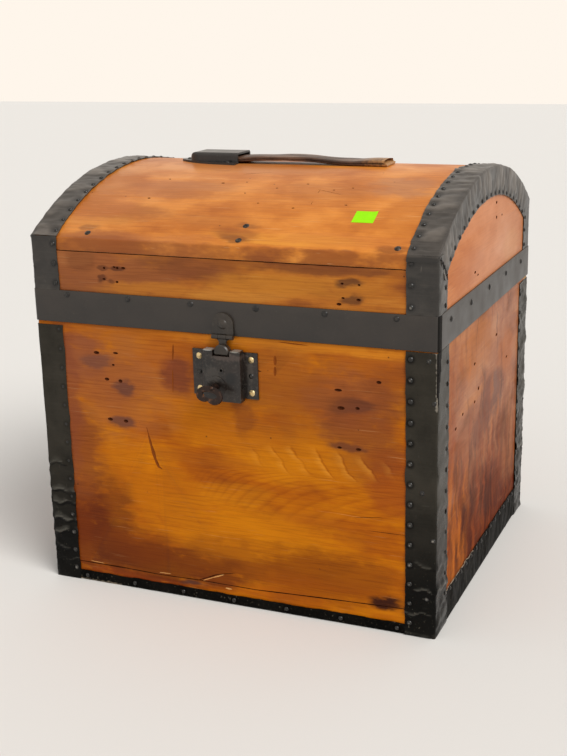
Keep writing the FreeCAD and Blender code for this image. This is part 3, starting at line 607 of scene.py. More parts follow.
    def draw(self, nodes: Nodes) -> None:
        """Draw the clouds, stains, rings, ripples, fibres and scrapes.

        Args:
            nodes: its node tree.
        """
        add, tint = nodes.add, nodes.tint
        place = self.grain.lay(nodes)
        long, wide = self.cloud_mm
        broad = nodes.noise(self.warped(nodes, place, 50.0, 12.0), (long, wide, wide), 4.0,
                            self.seed + 3)
        fibre = nodes.noise(place, (34, 1.25, 3.0), 3.0, self.seed + 5)
        streak = nodes.noise(place, (80, 4.0, 8.0), 3.0, self.seed + 8)
        body = add("Math.MULTIPLY_ADD", streak, self.fibres * 0.6, broad)
        levels = (0.38, 0.52, 0.66, 0.84)
        colour = add("ValToRGB", body, stops=tuple(zip(levels, self.tones)))
        colour = self.stained(nodes, place, colour, streak)
        rings = self.rings(nodes, place)
        if self.fan:
            part, near = self.fan.lines(nodes, self.warped(nodes, place, 20.0, 1.6))
            drawn = add("ValToRGB", part, stops=(
                (0.0, "202020"), (0.45, "000000"), (0.8, "E0E0E0"), (1.0, "202020")))
            rings = add("Mix", near, rings, drawn, data_type="FLOAT")
        colour = tint(colour, "A8622A", rings, most=self.ring_share, how="MULTIPLY")
        relief = add("Math.MULTIPLY_ADD", fibre, 0.5, rings)
        if self.feathers:
            lips, shades = self.ripples(nodes, place)
            colour = tint(colour, "A86A34", shades, most=0.5, how="MULTIPLY")
            colour = tint(colour, "EFA63E", lips, most=0.3)
            relief = add("Math.MULTIPLY_ADD", lips, 1.4, relief)
        lines = add("ValToRGB", add("MapRange", fibre, 0.3, 0.7), stops=(
            (0.0, "A08468"), (0.5, "F2E8DC"), (1.0, "FFFFFF")))
        colour = add("Mix", self.fibres, colour, lines, data_type="RGBA",
                     blend_type="MULTIPLY")
        scrape = nodes.noise(self.warped(nodes, place, 60.0, 3.0), (46, 0.9, 3.0), 2.0,
                             self.seed + 13)
        colour = tint(colour, "F0C890", scrape, 0.68, 0.76, self.scrapes)
        speck = add("TexVoronoi", place, Scale=0.045, out="Distance")
        colour = tint(colour, "3A1C0C", speck, 0.045, 0.02, 0.75)
        rough = add("MapRange", broad, 0.3, 0.7, self.gloss + 0.07, self.gloss - 0.05)
        if self.dull:
            rough = add("Math.MULTIPLY_ADD", nodes.patch(place, self.dull), 0.5, rough)
        bump = add("Bump", Strength=0.35, Distance=0.12 * MM, Height=relief)
        nodes.close(Base_Color=colour, Roughness=rough, Normal=bump, IOR=self.ior)


@dataclass(frozen=True)
class BarePine(Finish):
    """Unfinished sawn pine inside the trunk: pale straw, dry and matt, gone grey-brown.

    Its fibres are drawn as bundles of 1.4 mm, because real ones are too fine to show.
    """

    grain: Grain

    def draw(self, nodes: Nodes) -> None:
        """Draw the saw's streaks, the fibres and the grey clouds.

        Args:
            nodes: its node tree.
        """
        place = self.grain.lay(nodes)
        streak = nodes.noise(place, (120, 6.0, 8.0), 4.0, 2.0)
        fibre = nodes.noise(place, (30, 1.4, 3.0), 3.0, 5.0)
        cloud = nodes.noise(place, (80, 50, 50), 3.0, 9.0)
        colour = nodes.add("ValToRGB", streak, stops=(
            (0.25, "8A6238"), (0.5, "B98F5A"), (0.75, "CFA874")))
        colour = nodes.tint(colour, "6E4A28", fibre, 0.6, 0.35, 0.5)
        colour = nodes.tint(colour, "7C6248", cloud, 0.45, 0.7, 0.5)
        bump = nodes.add("Bump", Strength=0.5, Distance=0.2 * MM, Height=fibre)
        nodes.close(Base_Color=colour, Roughness=0.82, Normal=bump)


# ---- metal, leather, paper


@dataclass(frozen=True)
class BlackIron(Finish):
    """Thin sheet iron, dipped or brushed black and handled for years.

    The eye gets a nearly black brown skin with cloudy grey patches, a soft sheen, fine
    brush streaks across the strip, ridges drawn grey as rubbed wear and painted highlight
    and hollows drawn black as painted shade (attribute "ridge"), a painted
    shadow round the nails (attribute "dirt"), bare metal where the black has
    worn off a fold or an edge (attribute "wear"), and, where low is set, painted shade that
    blackens it towards the bottom. A brush leaves streaks of 0.3 mm; they are drawn 1.3 mm
    wide to show.
    """

    dark: str = "1A1815"
    warm: str = "2C2824"
    bare: str = "8B8378"
    gloss: float = 0.36
    worn: float = 0.0
    shine: float = 0.5
    speckle: float = 0.25
    streaks: float = 0.3
    sheet: bool = False
    rubbed: str = "5A544C"
    # low: share of painted shade that blackens the sheet towards the bottom
    low: float = 0.0
    specks: float = 0.0
    spots: tuple[Spot, ...] = ()
    scratched: float = 0.3

    def draw(self, nodes: Nodes) -> None:
        """Draw the black, its wear, rubbed ridges, dirt and spots.

        Args:
            nodes: its node tree.
        """
        add, tint, noise = nodes.add, nodes.tint, nodes.noise
        place = nodes.millimetres()
        wear, ridge, dirt = (add("Attribute", attribute_name=name, out="Fac")
                             for name in ("wear", "ridge", "dirt"))
        flat = add("Mapping", add("UVMap", uv_map="flat"),
                   Scale=(100, 100, 100)) if self.sheet else place
        cloud = noise(place, (26, 26, 26), 4.0, 1.0)
        fine = noise(place, (2.2, 2.2, 2.2), 3.0, 4.0)
        brush = noise(flat, (26, 1.3, 1.3), 3.0, 7.0)
        rub = noise(flat, (1.1, 18.0, 1.6), 2.0, 9.0)
        colour = tint(self.dark, self.warm, cloud, 0.35, 0.68)
        colour = tint(colour, "4A433C", fine, 0.52, 0.75, self.speckle)
        colour = tint(colour, "57504A", brush, 0.5, 0.72, self.streaks)
        ragged = add("Math.MULTIPLY_ADD", fine, 0.9, add("Math.ADD", wear, self.worn))
        bare = add("Math.MAXIMUM", add("MapRange", ragged, 0.95, 1.25),
                   add("MapRange", rub, 0.7, 0.76, 0.0, self.scratched))
        colour = tint(colour, self.bare, bare)
        split = add("SeparateXYZ", place).node.outputs
        if self.low:
            # painted shade: the colour goes nearly black from 140 mm down to 45 mm above
            # the floor
            colour = tint(colour, "040404", split["Z"], 140.0, 45.0, self.low)
        # ridges drawn grey as rubbed wear and painted highlight, hollows drawn black as
        # painted shade
        ridge = add("Math.MULTIPLY_ADD", cloud, 0.6, ridge)
        colour = tint(colour, self.rubbed, ridge, 0.75, 1.7, 0.6)
        colour = tint(colour, "060505", ridge, 0.2, -0.35, 0.75)
        # painted shadow: a dark ring round each nail head
        colour = tint(colour, "070605", dirt, 0.1, 0.75, 0.85)
        if self.specks:
            grain = add("MapRange", noise(place, (1.6, 1.6, 2.4), 1.0, 15.0), 0.7, 0.74)
            near = add("MapRange", split["Z"], 90.0, 20.0, 0.0, self.specks)
            colour = tint(colour, "A89F88", add("Math.MULTIPLY", grain, near))
        face = add("CombineXYZ", split["X"], split["Z"])
        for spot in self.spots:
            near = add("Math.MULTIPLY_ADD", fine, 0.8, nodes.patch(face, spot))
            colour = tint(colour, spot.tone, near, 0.62, 0.95, spot.share)
        relief = add("Math.MULTIPLY_ADD", fine, 0.1, cloud)
        relief = add("Math.MULTIPLY_ADD", brush, 0.06, relief)
        rough = add("MapRange", cloud, 0.3, 0.7, self.gloss - 0.06, self.gloss + 0.08)
        bump = add("Bump", Strength=0.5, Distance=0.6 * MM, Height=relief)
        nodes.close(Base_Color=colour, Metallic=add("Math.MULTIPLY", bare, 0.8),
                    Roughness=rough, Normal=bump, Specular_IOR_Level=self.shine)


@dataclass(frozen=True)
class NailIron(Finish):
    """Forged black tacks: dark domed heads, their tops drawn in dull steel, as rubbed wear
    and a painted highlight.

    Heads with the attribute "painted" keep more of their black.
    """

    dark: str
    bare: str
    rubbed: float = 0.7

    def draw(self, nodes: Nodes) -> None:
        """Draw the bare top and the black round it.

        Args:
            nodes: its node tree.
        """
        add, place = nodes.add, nodes.millimetres()
        # painted highlight, partly rubbed wear: the middle of each head, where it faces
        # straight out, takes the bare tone
        way = add("VectorMath.ABSOLUTE", add("TexCoord", out="Normal"))
        split = add("SeparateXYZ", way).node.outputs
        top = add("Math.MAXIMUM", add("Math.MAXIMUM", split["X"], split["Y"]), split["Z"])
        each = nodes.noise(place, (9, 9, 9), 1.0, 5.0)
        fine = nodes.noise(place, (1.0, 1.0, 1.0), 2.0, 8.0)
        level = add("Math.MULTIPLY_ADD", each, 0.16, top)
        level = add("Math.MULTIPLY_ADD", fine, 0.06, level)
        painted = add("Attribute", attribute_name="painted", out="Fac")
        bare = add("MapRange", add("Math.SUBTRACT", level, painted), 1.0, 1.12, 0.0,
                   self.rubbed)
        nodes.close(Base_Color=nodes.tint(self.dark, self.bare, bare),
                    Roughness=add("MapRange", fine, 0.3, 0.7, 0.26, 0.4),
                    Normal=add("Bump", Strength=0.4, Distance=0.2 * MM, Height=fine),
                    Metallic=add("MapRange", bare, 0.0, 1.0, 0.1, 0.9))


@dataclass(frozen=True)
class WornMetal(Finish):
    """Turned or stamped hardware metal, such as brass or zinc plated steel, tarnished.

    The eye gets a dull metal glint with darker tarnish in clouds a few millimetres wide.
    """

    clean: str
    tarnish: str
    amount: float = 0.5
    gloss: float = 0.35

    def draw(self, nodes: Nodes) -> None:
        """Draw the tarnish.

        Args:
            nodes: its node tree.
        """
        add, place = nodes.add, nodes.millimetres()
        cloud = nodes.noise(place, (3.5, 3.5, 3.5), 4.0, 3.0)
        fine = nodes.noise(place, (0.8, 0.8, 0.8), 2.0, 6.0)
        dull = add("MapRange", cloud, 0.62 - self.amount * 0.4, 0.8 - self.amount * 0.4)
        rough = add("MapRange", cloud, 0.3, 0.7, self.gloss, self.gloss + 0.2)
        nodes.close(Base_Color=nodes.tint(self.clean, self.tarnish, dull), Roughness=rough,
                    Metallic=add("MapRange", dull, 0.0, 1.0, 1.0, 0.55),
                    Normal=add("Bump", Strength=0.4, Distance=0.2 * MM, Height=fine))


@dataclass(frozen=True)
class HarnessLeather(Finish):
    """Vegetable tanned harness leather, cut from a thick side and dyed dark on its face.

    The eye gets a dark brown face rubbed grey and shiny on top, a pebble of fine
    creases, and a tan, fibrous cut end (attribute "fray"). Its pores are
    0.2 mm apart; they are drawn as a pebble of 1.4 mm to show.
    """

    face: str
    rubbed: str
    cut: str

    def draw(self, nodes: Nodes) -> None:
        """Draw the rubbed face, the creases and the frayed end.

        Args:
            nodes: its node tree.
        """
        add, tint, place = nodes.add, nodes.tint, nodes.millimetres()
        cloud = nodes.noise(place, (30, 8, 8), 4.0, 1.0)
        pebble = add("TexVoronoi", place, Scale=0.7, feature="SMOOTH_F1", out="Distance")
        crease = nodes.noise(place, (2.0, 9.0, 3.0), 3.0, 5.0)
        colour = tint(self.face, self.rubbed, cloud, 0.4, 0.65)
        colour = tint(colour, "1C120C", crease, 0.55, 0.7, 0.6)
        fray = add("Attribute", attribute_name="fray", out="Fac")
        colour = tint(colour, self.cut, add("Math.MULTIPLY_ADD", crease, 0.7, fray), 0.72,
                      1.05)
        relief = add("Math.MULTIPLY_ADD", crease, -0.8, pebble)
        nodes.close(Base_Color=colour, IOR=1.38,
                    Normal=add("Bump", Strength=0.6, Distance=0.3 * MM, Height=relief),
                    Roughness=add("MapRange", cloud, 0.35, 0.65, 0.52, 0.36))


@dataclass(frozen=True)
class BrightPaper(Finish):
    """Fluorescent coated label paper: one strong yellow-green, faintly mottled, matt.

    Its fibres of 0.03 mm are too fine to show and are drawn 0.6 mm wide.
    """

    tone: str

    def draw(self, nodes: Nodes) -> None:
        """Draw the mottling.

        Args:
            nodes: its node tree.
        """
        place = nodes.millimetres()
        cloud = nodes.noise(place, (6, 6, 6), 3.0, 2.0)
        fibre = nodes.noise(place, (0.6, 0.6, 0.6), 2.0, 4.0)
        bump = nodes.add("Bump", Strength=0.3, Distance=0.05 * MM, Height=fibre)
        nodes.close(Base_Color=nodes.tint(self.tone, "84CC04", cloud, 0.4, 0.7, 0.25),
                    Roughness=0.6, Specular_IOR_Level=0.12, Normal=bump)


@dataclass(frozen=True)
class DarkPit(Finish):
    """Dirt, rust or bruised grain in a hole, crack or dent, or painted shade where a strip
    gapes: dark brown to black, dead matt.
    """

    deep: str
    light: str
    shine: float = 0.04

    def draw(self, nodes: Nodes) -> None:
        """Draw the grit."""
        grit = nodes.noise(nodes.millimetres(), (0.8, 0.8, 0.8), 2.0)
        nodes.close(Base_Color=nodes.tint(self.deep, self.light, grit), Roughness=0.9,
                    Specular_IOR_Level=self.shine)


@dataclass(frozen=True)
class FloorPaper(Finish):
    """Seamless studio paper: one pale tone, matt."""

    tone: str

    def draw(self, nodes: Nodes) -> None:
        """One flat tone."""
        nodes.close(Base_Color=self.tone, Roughness=0.9)


FINISHES: tuple[Finish, ...] = (
    ShellackedPine(
        "shellacked_pine_front", Grain.FACE, ("984C08", "B05C02", "C47000", "D28004"),
        spots=patches(
            (0, 235, 230, 62, "A65A1C", 0.55), (64, 150, 95, 34, "CE7C04", 0.7),
            (20, 66, 130, 52, "CC7A00", 0.75), (-21, 173, 60, 26, "C67404", 0.6),
            (95, 42, 80, 34, "9A5000", 0.85), (15, 168, 60, 22, "B4640A", 0.6),
            (130, 246, 60, 14, "A85A18", 0.7), (-110, 120, 40, 60, "B66606", 0.5),
            # the second spot on the next line, pale gold along the board's top edge under
            # the band, is a painted highlight
            (-70, 95, 60, 40, "BC6C02", 0.6), (67, 252, 150, 10, "CC7C1C", 0.9),
            (-110, 200, 90, 66, "A4602E", 0.65), (-158, 52, 46, 60, "6B2A06", 0.95),
            (-160, 130, 40, 70, "84441C", 0.8), (-150, 225, 44, 30, "8C4E32", 0.75),
            (-112, 205, 54, 34, "94522C", 0.5), (-166, 180, 22, 110, "84442A", 0.6),
            (-45, 216, 24, 24, "7C3E24", 0.9), (14, 183, 13, 26, "8E4A14", 0.7),
            (112, 208, 56, 36, "9A5630", 0.65), (122, 182, 46, 26, "8E4A22", 0.6),
            (152, 222, 34, 34, "8A481C", 0.6), (-23, 139, 70, 9, "A65A10", 0.4),
            (40, 36, 130, 12, "924604", 0.6), (148, 28, 22, 9, "3A180A", 1.0),
            (-95, 12, 90, 9, "84340E", 0.9), (-42, 15.6, 18, 4, "4A3A38", 0.9),
            (-20, 24, 40, 7, "7A3A10", 0.8), (80, 96, 40, 9, "B0600A", 0.5),
            (120, 50, 60, 20, "985004", 0.6), (150, 140, 34, 40, "9C4A12", 0.75),
            (-110, 30, 80, 22, "84420C", 0.6), (-104, 199, 15, 11, "5C3A34", 0.75),
            (-108, 166, 20, 8, "5C3A34", 0.75), (-128, 221, 24, 9, "6A443A", 0.6),
            (114, 203, 26, 10, "50302A", 0.75), (113, 165, 22, 6, "50302A", 0.75),
            (-124, 62, 36, 66, "62290A", 0.65), (-62, 31, 110, 26, "662C06", 0.8),
            (-3, 44, 70, 30, "844206", 0.5), (58, 210, 66, 60, "864A1C", 0.45),
            (126, 184, 50, 60, "7A4020", 0.45), (70, 55, 60, 24, "8A4602", 0.45),
            (-92, 46, 60, 26, "763406", 0.6), (8, 110, 60, 14, "CE8008", 0.4)),
        swells=patches((150, 118, 200, 78, "", 44.0), (-60, 150, 130, 46, "", 14.0)),
        feathers=(Spot(86, 148, 80, 15, "", 21.0),), ring_mm=4.2, ring_share=0.3,
        fan=Fan(-25, 101, 139, Spot(76, 119, 124, 32)), seed=4.0, ior=1.2),
    ShellackedPine(
        "shellacked_pine_lid_front", Grain.FACE, ("7C3E16", "9A561E", "B46A20", "C47C2C"),
        spots=patches(
            (-116, 303, 100, 34, "92542E", 0.85), (-30, 312, 54, 14, "844A26", 0.7),
            (-150, 316, 30, 12, "A86838", 0.6), (-74, 300, 40, 16, "8E5026", 0.5),
            (96, 319, 84, 8, "76401E", 0.75), (45, 303, 80, 14, "C07A24", 0.7),
            (-70, 291, 70, 9, "BC7422", 0.7), (112, 302, 44, 12, "B87222", 0.6),
            (-103, 309, 11, 4, "4A2414", 0.75), (-115, 298, 9, 4, "4A2414", 0.7),
            (-117, 308, 8, 4, "4A2414", 0.6), (-104, 296, 6, 3, "4A2414", 0.6),
            (116, 307, 15, 5, "46261A", 0.75), (116, 295, 14, 5, "46261A", 0.7),
            (10, 290, 60, 9, "C88430", 0.6), (-60, 317, 34, 12, "74401E", 0.45),
            (17, 320, 44, 8, "7E441C", 0.55), (-141, 313, 22, 16, "703C1C", 0.5)),
        swells=(Spot(-20, 300, 160, 30, "", 14.0),), ring_mm=4.0, ring_share=0.24,
        seed=19.0, cloud_mm=(60.0, 18.0)),
    ShellackedPine(
        "shellacked_pine_dome", Grain.TOP, ("B06220", "C27228", "D28232", "DE9040"),
        spots=patches(
            (-90, -92, 58, 26, "AC6430", 0.6), (-60, -20, 70, 16, "B07040", 0.6),
            (-106, -131, 60, 16, "A25C22", 0.75), (-16, -137, 64, 12, "C07A38", 0.3),
            (64, -86, 60, 26, "B26828", 0.6), (150, -118, 30, 40, "A25414", 0.4),
            (-9, -35, 110, 22, "B46C34", 0.6), (-133, -143, 50, 10, "CC8436", 0.5),
            (-150, -120, 60, 30, "B8682A", 0.6), (56, -154, 90, 9, "DC9234", 0.7),
            (-60, -90, 50, 26, "AE6424", 0.6), (-150, -90, 34, 60, "B0641E", 0.6),
            (8, -151, 30, 9, "8E4C1E", 0.6), (-134, -152, 17, 5, "6A3618", 0.5),
            (15, -141, 15, 5, "6A3618", 0.45), (10, -156, 18, 5, "6A3618", 0.5),
            (152, -159, 22, 5, "6A3618", 0.6), (-118, -163, 64, 10, "985428", 0.7),
            (-52, -161, 60, 8, "B8703A", 0.5), (105, -152, 90, 10, "BA6C30", 0.45),
            (133, -72, 44, 30, "A06A48", 0.6), (105, -166, 120, 5, "8A4A20", 0.75),
            (-60, -166, 180, 5, "8A4A24", 0.6)),
        swells=(Spot(40, -60, 170, 60, "", 30.0),), ring_mm=5.0, ring_share=0.16, seed=31.0,
        gloss=0.36, scrapes=0.35, cloud_mm=(54.0, 34.0), fibres=0.24),
    ShellackedPine(
        "shellacked_pine_right_end", Grain.END, ("7C4A2C", "955C3E", "A66A44", "B4784E"),
        spots=patches(
            (0, 20, 260, 110, "5A2006", 1.0), (-32, 226, 80, 36, "A86228", 0.7),
            (81, 195, 50, 34, "A45A22", 0.7), (30, 166, 60, 30, "6A4030", 0.85),
            (-18, 144, 50, 22, "6C3E2C", 0.7), (-51, 182, 60, 9, "B8743C", 0.5),
            (-91, 136, 50, 34, "84400E", 0.6), (95, 78, 60, 40, "6A2A0A", 0.7),
            (42, 64, 60, 26, "4A1C08", 0.8), (-98, 74, 44, 30, "5A1E04", 0.5),
            (-95, 40, 44, 36, "A85C16", 0.7), (108, 100, 56, 60, "B0764E", 0.5),
            (-120, 180, 20, 80, "8C4416", 0.6)),
        flames=patches(
            (-20, 80, 200, 110, "8A3E12", 0.7), (-96, 70, 64, 70, "B8641A", 0.9),
            (-40, 70, 120, 90, "3E1606", 0.75), (70, 110, 90, 70, "5A2810", 0.6)),
        swells=(Spot(10, 130, 140, 80, "", 46.0),), ring_mm=6.0, ring_share=0.18,
        fibres=0.2, seed=47.0, cloud_mm=(56.0, 30.0), ior=1.18,
        dull=Spot(0, -10, 400, 190)),
    ShellackedPine(
        "shellacked_pine_left_end", Grain.END, ("6E300C", "8A4414", "9C521C", "AC6228"),
        spots=patches(
            (-60, 190, 70, 40, "6E3C22", 0.8), (70, 90, 80, 40, "6A3416", 0.7),
            (20, 210, 90, 20, "B06820", 0.6), (0, 20, 240, 60, "5E260A", 0.8)),
        swells=(Spot(-30, 110, 130, 70, "", 40.0),), ring_mm=8.0, ring_share=0.24,
        seed=53.0),
    ShellackedPine(
        "shellacked_pine_lid_ends", Grain.END, ("B26A3C", "BE7646", "C67E4E", "CE8858"),
        spots=patches(
            (-60, 306, 60, 20, "B06A40", 0.5), (70, 330, 60, 30, "C07A4A", 0.5),
            (90, 300, 40, 20, "CC8E5C", 0.5)),
        swells=(Spot(0, 300, 150, 50, "", 30.0),), ring_mm=6.0, ring_share=0.1, fibres=0.16,
        seed=61.0),
    ShellackedPine(
        "shellacked_pine_back", Grain.FACE, ("84400C", "9E520C", "AE6010", "BC701A"),
        spots=patches(
            (-90, 80, 90, 50, "6E3210", 0.7), (80, 190, 80, 40, "7A4020", 0.7),
            (20, 300, 120, 20, "7A4220", 0.6), (0, 20, 260, 30, "6A300C", 0.7)),
        swells=(Spot(-20, 140, 160, 70, "", 52.0),), ring_share=0.3, seed=71.0),
    BarePine("sawn_pine_faces", Grain.FACE),
    BarePine("sawn_pine_ends", Grain.END),
    BarePine("sawn_pine_flat", Grain.TOP),
    DarkPit("hole_dirt", "32160A", "5A2C14"),
    DarkPit("bruised_pine", "6A3210", "8E4A1A"),
    DarkPit("fresh_split_pine", "C08A50", "DCA868"),
    # painted shade: near black, laid on a strip's own faces where it stands open
    DarkPit("painted_gap_shade", "0A0806", "13100D", 0.2),
    BlackIron(
        "black_sheet_iron", "2A2721", "36322B", gloss=0.28, shine=0.07, speckle=0.08,
        # low: painted shade, nearly black towards the floor
        streaks=0.06, sheet=True, rubbed="605D55", low=0.9, specks=0.16, scratched=0.12),
    BlackIron(
        "black_lid_iron", "1E1B18", "2E2A26", gloss=0.34, shine=0.45, speckle=0.1,
        streaks=0.1, sheet=True, rubbed="504A42"),
    BlackIron(
        "black_arch_iron", "241F1B", "37312B", gloss=0.36, shine=0.5, speckle=0.12,
        streaks=0.4, sheet=True, rubbed="6A6158"),
    BlackIron("black_band_iron", "26211D", "2E2823", gloss=0.4, speckle=0.06, streaks=0.0),
    BlackIron(
        "black_bottom_iron", "0A0908", "11100E", "B0A08A", 0.45, 0.0, shine=0.02,
        speckle=0.1, streaks=0.0, sheet=True, rubbed="1E1C1A", specks=0.18, scratched=0.05),
    NailIron("black_nail_iron", "0E0C0B", "5E5850", 0.35),
    NailIron("worn_and_highlit_nail_iron", "12100E", "A8A298", 0.6),
    BlackIron(
        "japanned_lock_iron", "14110F", "261C16", "9C9084", 0.3, 0.1, speckle=0.6,
        streaks=0.0,
        spots=patches(
            # The first two spots are painted highlights on the case's top edge either side
            # of the hasp, the third a painted highlight on the scoop below the hasp, and
            # the near-black one at 9, 220 a painted shadow of the key.
            (-13, 243.8, 7, 1.2, "9A968E", 0.8), (13, 243.8, 6, 1.2, "8E8A80", 0.7),
            (6, 238.5, 24, 5, "5C4C44", 0.4), (-9, 222, 12, 12, "3E3832", 0.6),
            (9, 220, 8, 8, "050404", 0.9), (24, 224, 5, 16, "443C34", 0.5),
            (6, 206, 10, 5, "3C3834", 0.5))),
    BlackIron(
        "hasp_iron", "1C1814", "302820", "8E7C62", 0.3, 0.14, speckle=0.4, streaks=0.0),
    BlackIron(
        "handle_iron", "1C1A19", "2E2A27", "8E8880", 0.32, 0.08, speckle=0.2, streaks=0.0),
    WornMetal("rusty_key_steel", "5E463A", "22150F", 0.8, 0.4),
    WornMetal("lock_screw_brass", "DCC594", "4E3E22", 0.42, 0.28),
    WornMetal("zinc_screw_steel", "6E6862", "2A221C", 0.7, 0.4),
    WornMetal("hinge_steel", "544C45", "2E2722", 0.55, 0.42),
    WornMetal("wire_nail_steel", "77706A", "40362F", 0.6, 0.4),
    HarnessLeather("harness_leather", "3A281E", "6A4A36", "A07446"),
    BrightPaper("label_paper", "94E404"),
)


class Finishes:
    """Every finish on the trunk, made once and shared."""

    def __init__(self) -> None:
        """Make the finishes."""
        self.made = {finish.name: finish.make() for finish in FINISHES}

    def __getitem__(self, name: str) -> bpy.types.Material:
        """The material by name."""
        return self.made[name]

    def paint(self, skin: str, *nodes: str) -> None:
        """Give CAD nodes a finish."""
        for node in nodes:
            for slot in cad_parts[node].material_slots:
                slot.material = self.made[skin]
            log.info("%s: %s", node, skin)


# ---- boards


@dataclass(frozen=True)
class Hole:
    """Old nail hole in a board's outer face, in its own two coordinates."""

    along: float
    across: float
    radius: float = 1.4


@dataclass(frozen=True)
class Split:
    """Crack or gouge in a board's face: a run of points and a width."""

    path: tuple[tuple[float, float], ...]
    width: float = 0.8
    depth: float = 2.0
    skin: str = "hole_dirt"


class Side(Enum):
    """Face of the trunk that a board shows, as its outward direction."""

    FRONT = (0, -1, 0)
    BACK = (0, 1, 0)
    LEFT = (-1, 0, 0)
    RIGHT = (1, 0, 0)
    TOP = (0, 0, 1)
    UNDER = (0, 0, -1)


@dataclass
class Board:
    """One sawn and planed board, with its eased edges, old nail holes and cracks."""

    node: str
    body: str
    side: Side
    skin: str
    inside: str
    holes: tuple[Hole, ...] = ()
    splits: tuple[Split, ...] = ()
    edge: float = 0.5
    hole_deep: float = 1.7

    def surface(self, along: float, across: float) -> Vector:
        """Place on the outer face, in millimetres."""
        out = Vector(self.side.value)
        if self.side in (Side.FRONT, Side.BACK):
            return Vector((along, out.y * WALL_Y, across))
        if self.side in (Side.LEFT, Side.RIGHT):
            return Vector((out.x * WALL_X, along, across))
        return Vector((along, across, DOME_CZ + math.sqrt(DOME_R ** 2 - across ** 2)))

    def outward(self, along: float, across: float) -> Vector:
        """Direction out of the outer face at a place on it."""
        if self.side is Side.TOP:
            return (self.surface(along, across) - Vector((along, 0, DOME_CZ))).normalized()
        return Vector(self.side.value)

    def is_outside(self, face: bpy.types.MeshPolygon) -> bool:
        """Whether a face of the board is one that the finish was rubbed on."""
        return face.normal.dot(Vector(self.side.value)) > 0.3

    def cutters(self, finishes: Finishes) -> Piece | None:
        """Tapered pegs and wedges that are cut out of the board.

        Args:
            finishes: the finishes; the cut faces take the dirt's.

        Returns:
            All of them as one piece, or None.
        """
        made = []
        chance = random.Random(self.node)

        def peg(skin: str, vertices: int, foot: float, top: float, deep: float) -> Piece:
            """A tapered peg of the dirt's finish."""
            bpy.ops.mesh.primitive_cone_add(vertices=vertices, radius1=foot * MM,
                                            radius2=top * MM, depth=deep * MM)
            bpy.context.object.data.materials.append(finishes[skin])
            made.append(bpy.context.object)
            return made[-1]

        for hole in self.holes:
            middle = self.surface(hole.along, hole.across)
            out = self.outward(hole.along, hole.across)
            size = hole.radius * chance.uniform(0.8, 1.25)
            cone = peg("hole_dirt", 9, size * 0.35, size * 1.3, self.hole_deep)
            cone.location = (middle - out * 0.7) * MM
            cone.rotation_euler = out.to_track_quat("Z", "Y").to_euler()
            cone.scale = (chance.uniform(1.0, 1.7), chance.uniform(0.6, 0.9), 1)
        for split in self.splits:
            for start, end in zip(split.path, split.path[1:]):
                a, b = self.surface(*start), self.surface(*end)
                out = self.outward(*start)
                way = (b - a).normalized()
                cone = peg(split.skin, 8, split.width * 0.1, split.width / 2, split.depth)
                stretch = (b - a).length * 1.5 / split.width
                middle = (a + b) / 2 - out * (split.depth / 2 - 0.06)
                cone.matrix_world = (
                    Matrix.Translation(middle * MM)
                    @ Matrix((way, out.cross(way), out)).transposed().to_4x4()
                    @ Matrix.Diagonal((stretch, chance.uniform(0.75, 1.3), 1, 1)))
        if not made:
            return None
        for piece in made:
            settle(piece, "cutter")
        take(*made)
        if len(made) > 1:
            bpy.ops.object.join()
        return bpy.context.object

    def shape(self) -> Piece:
        """The plain board, before its edges are eased."""
        return block(*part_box(self.node), "new_" + self.node)

    def build(self, finishes: Finishes) -> None:
        """Make the board in place of its CAD node.

        Args:
            finishes: the finishes.
        """
        piece = self.shape()
        modify(piece, "BEVEL", width=self.edge * MM, segments=2, limit_method="ANGLE",
               angle_limit=math.radians(25))
        for skin in (self.skin, self.inside):
            piece.data.materials.append(finishes[skin])
        for face in piece.data.polygons:
            face.material_index = 0 if self.is_outside(face) else 1
        cutter = self.cutters(finishes)
        if cutter:
            modify(piece, "BOOLEAN", operation="DIFFERENCE", object=cutter, solver="EXACT",
                   material_mode="TRANSFER", use_self=True)
            bpy.data.objects.remove(cutter)
        hand_in(piece, 30, self.body, self.node)


@dataclass
class LidWall(Board):
    """Front or back board of the lid, its top sloped to the dome board."""

    slope_start: float = 160.0
    slope_end: float = 153.0

    def shape(self) -> Piece:
        """The board, raised along its inner top edge.

        Returns:
            The board before its edges are eased.
        """
        low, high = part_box(self.node)
        out = Vector(self.side.value)
        piece = block(low, Vector((high.x, high.y, SEAM_Z * MM)), "new_" + self.node)
        with editing(piece):
            cut(point(0, out.y * self.slope_start, 0), (0, 1, 0))
            pick("VERT", lambda p, n: p.z > SEAM_Z - 0.1 and abs(p.y) < self.slope_end)
            bpy.ops.transform.translate(value=(0, 0, high.z - SEAM_Z * MM))
        return piece


@dataclass
class LidEnd(Board):
    """End board of the lid, cut to the curve that the dome board is bent over."""

    spare: float = 5.0
    facets: int = 360
    former_deep: float = 60.0

    def shape(self) -> Piece:
        """The board with its curved top.

        Returns:
            The board before its edges are eased.
        """
        low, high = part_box(self.node)
        piece = block(low, high + point(0, 0, self.spare), "new_" + self.node)
        bpy.ops.mesh.primitive_cylinder_add(
            vertices=self.facets, radius=DOME_IN_R * MM, depth=self.former_deep * MM,
            location=((low.x + high.x) / 2, 0, DOME_CZ * MM), rotation=(0, math.pi / 2, 0))
        former = settle(bpy.context.object, "former")
        modify(piece, "BOOLEAN", operation="INTERSECT", object=former, solver="EXACT")
        bpy.data.objects.remove(former)
        return piece


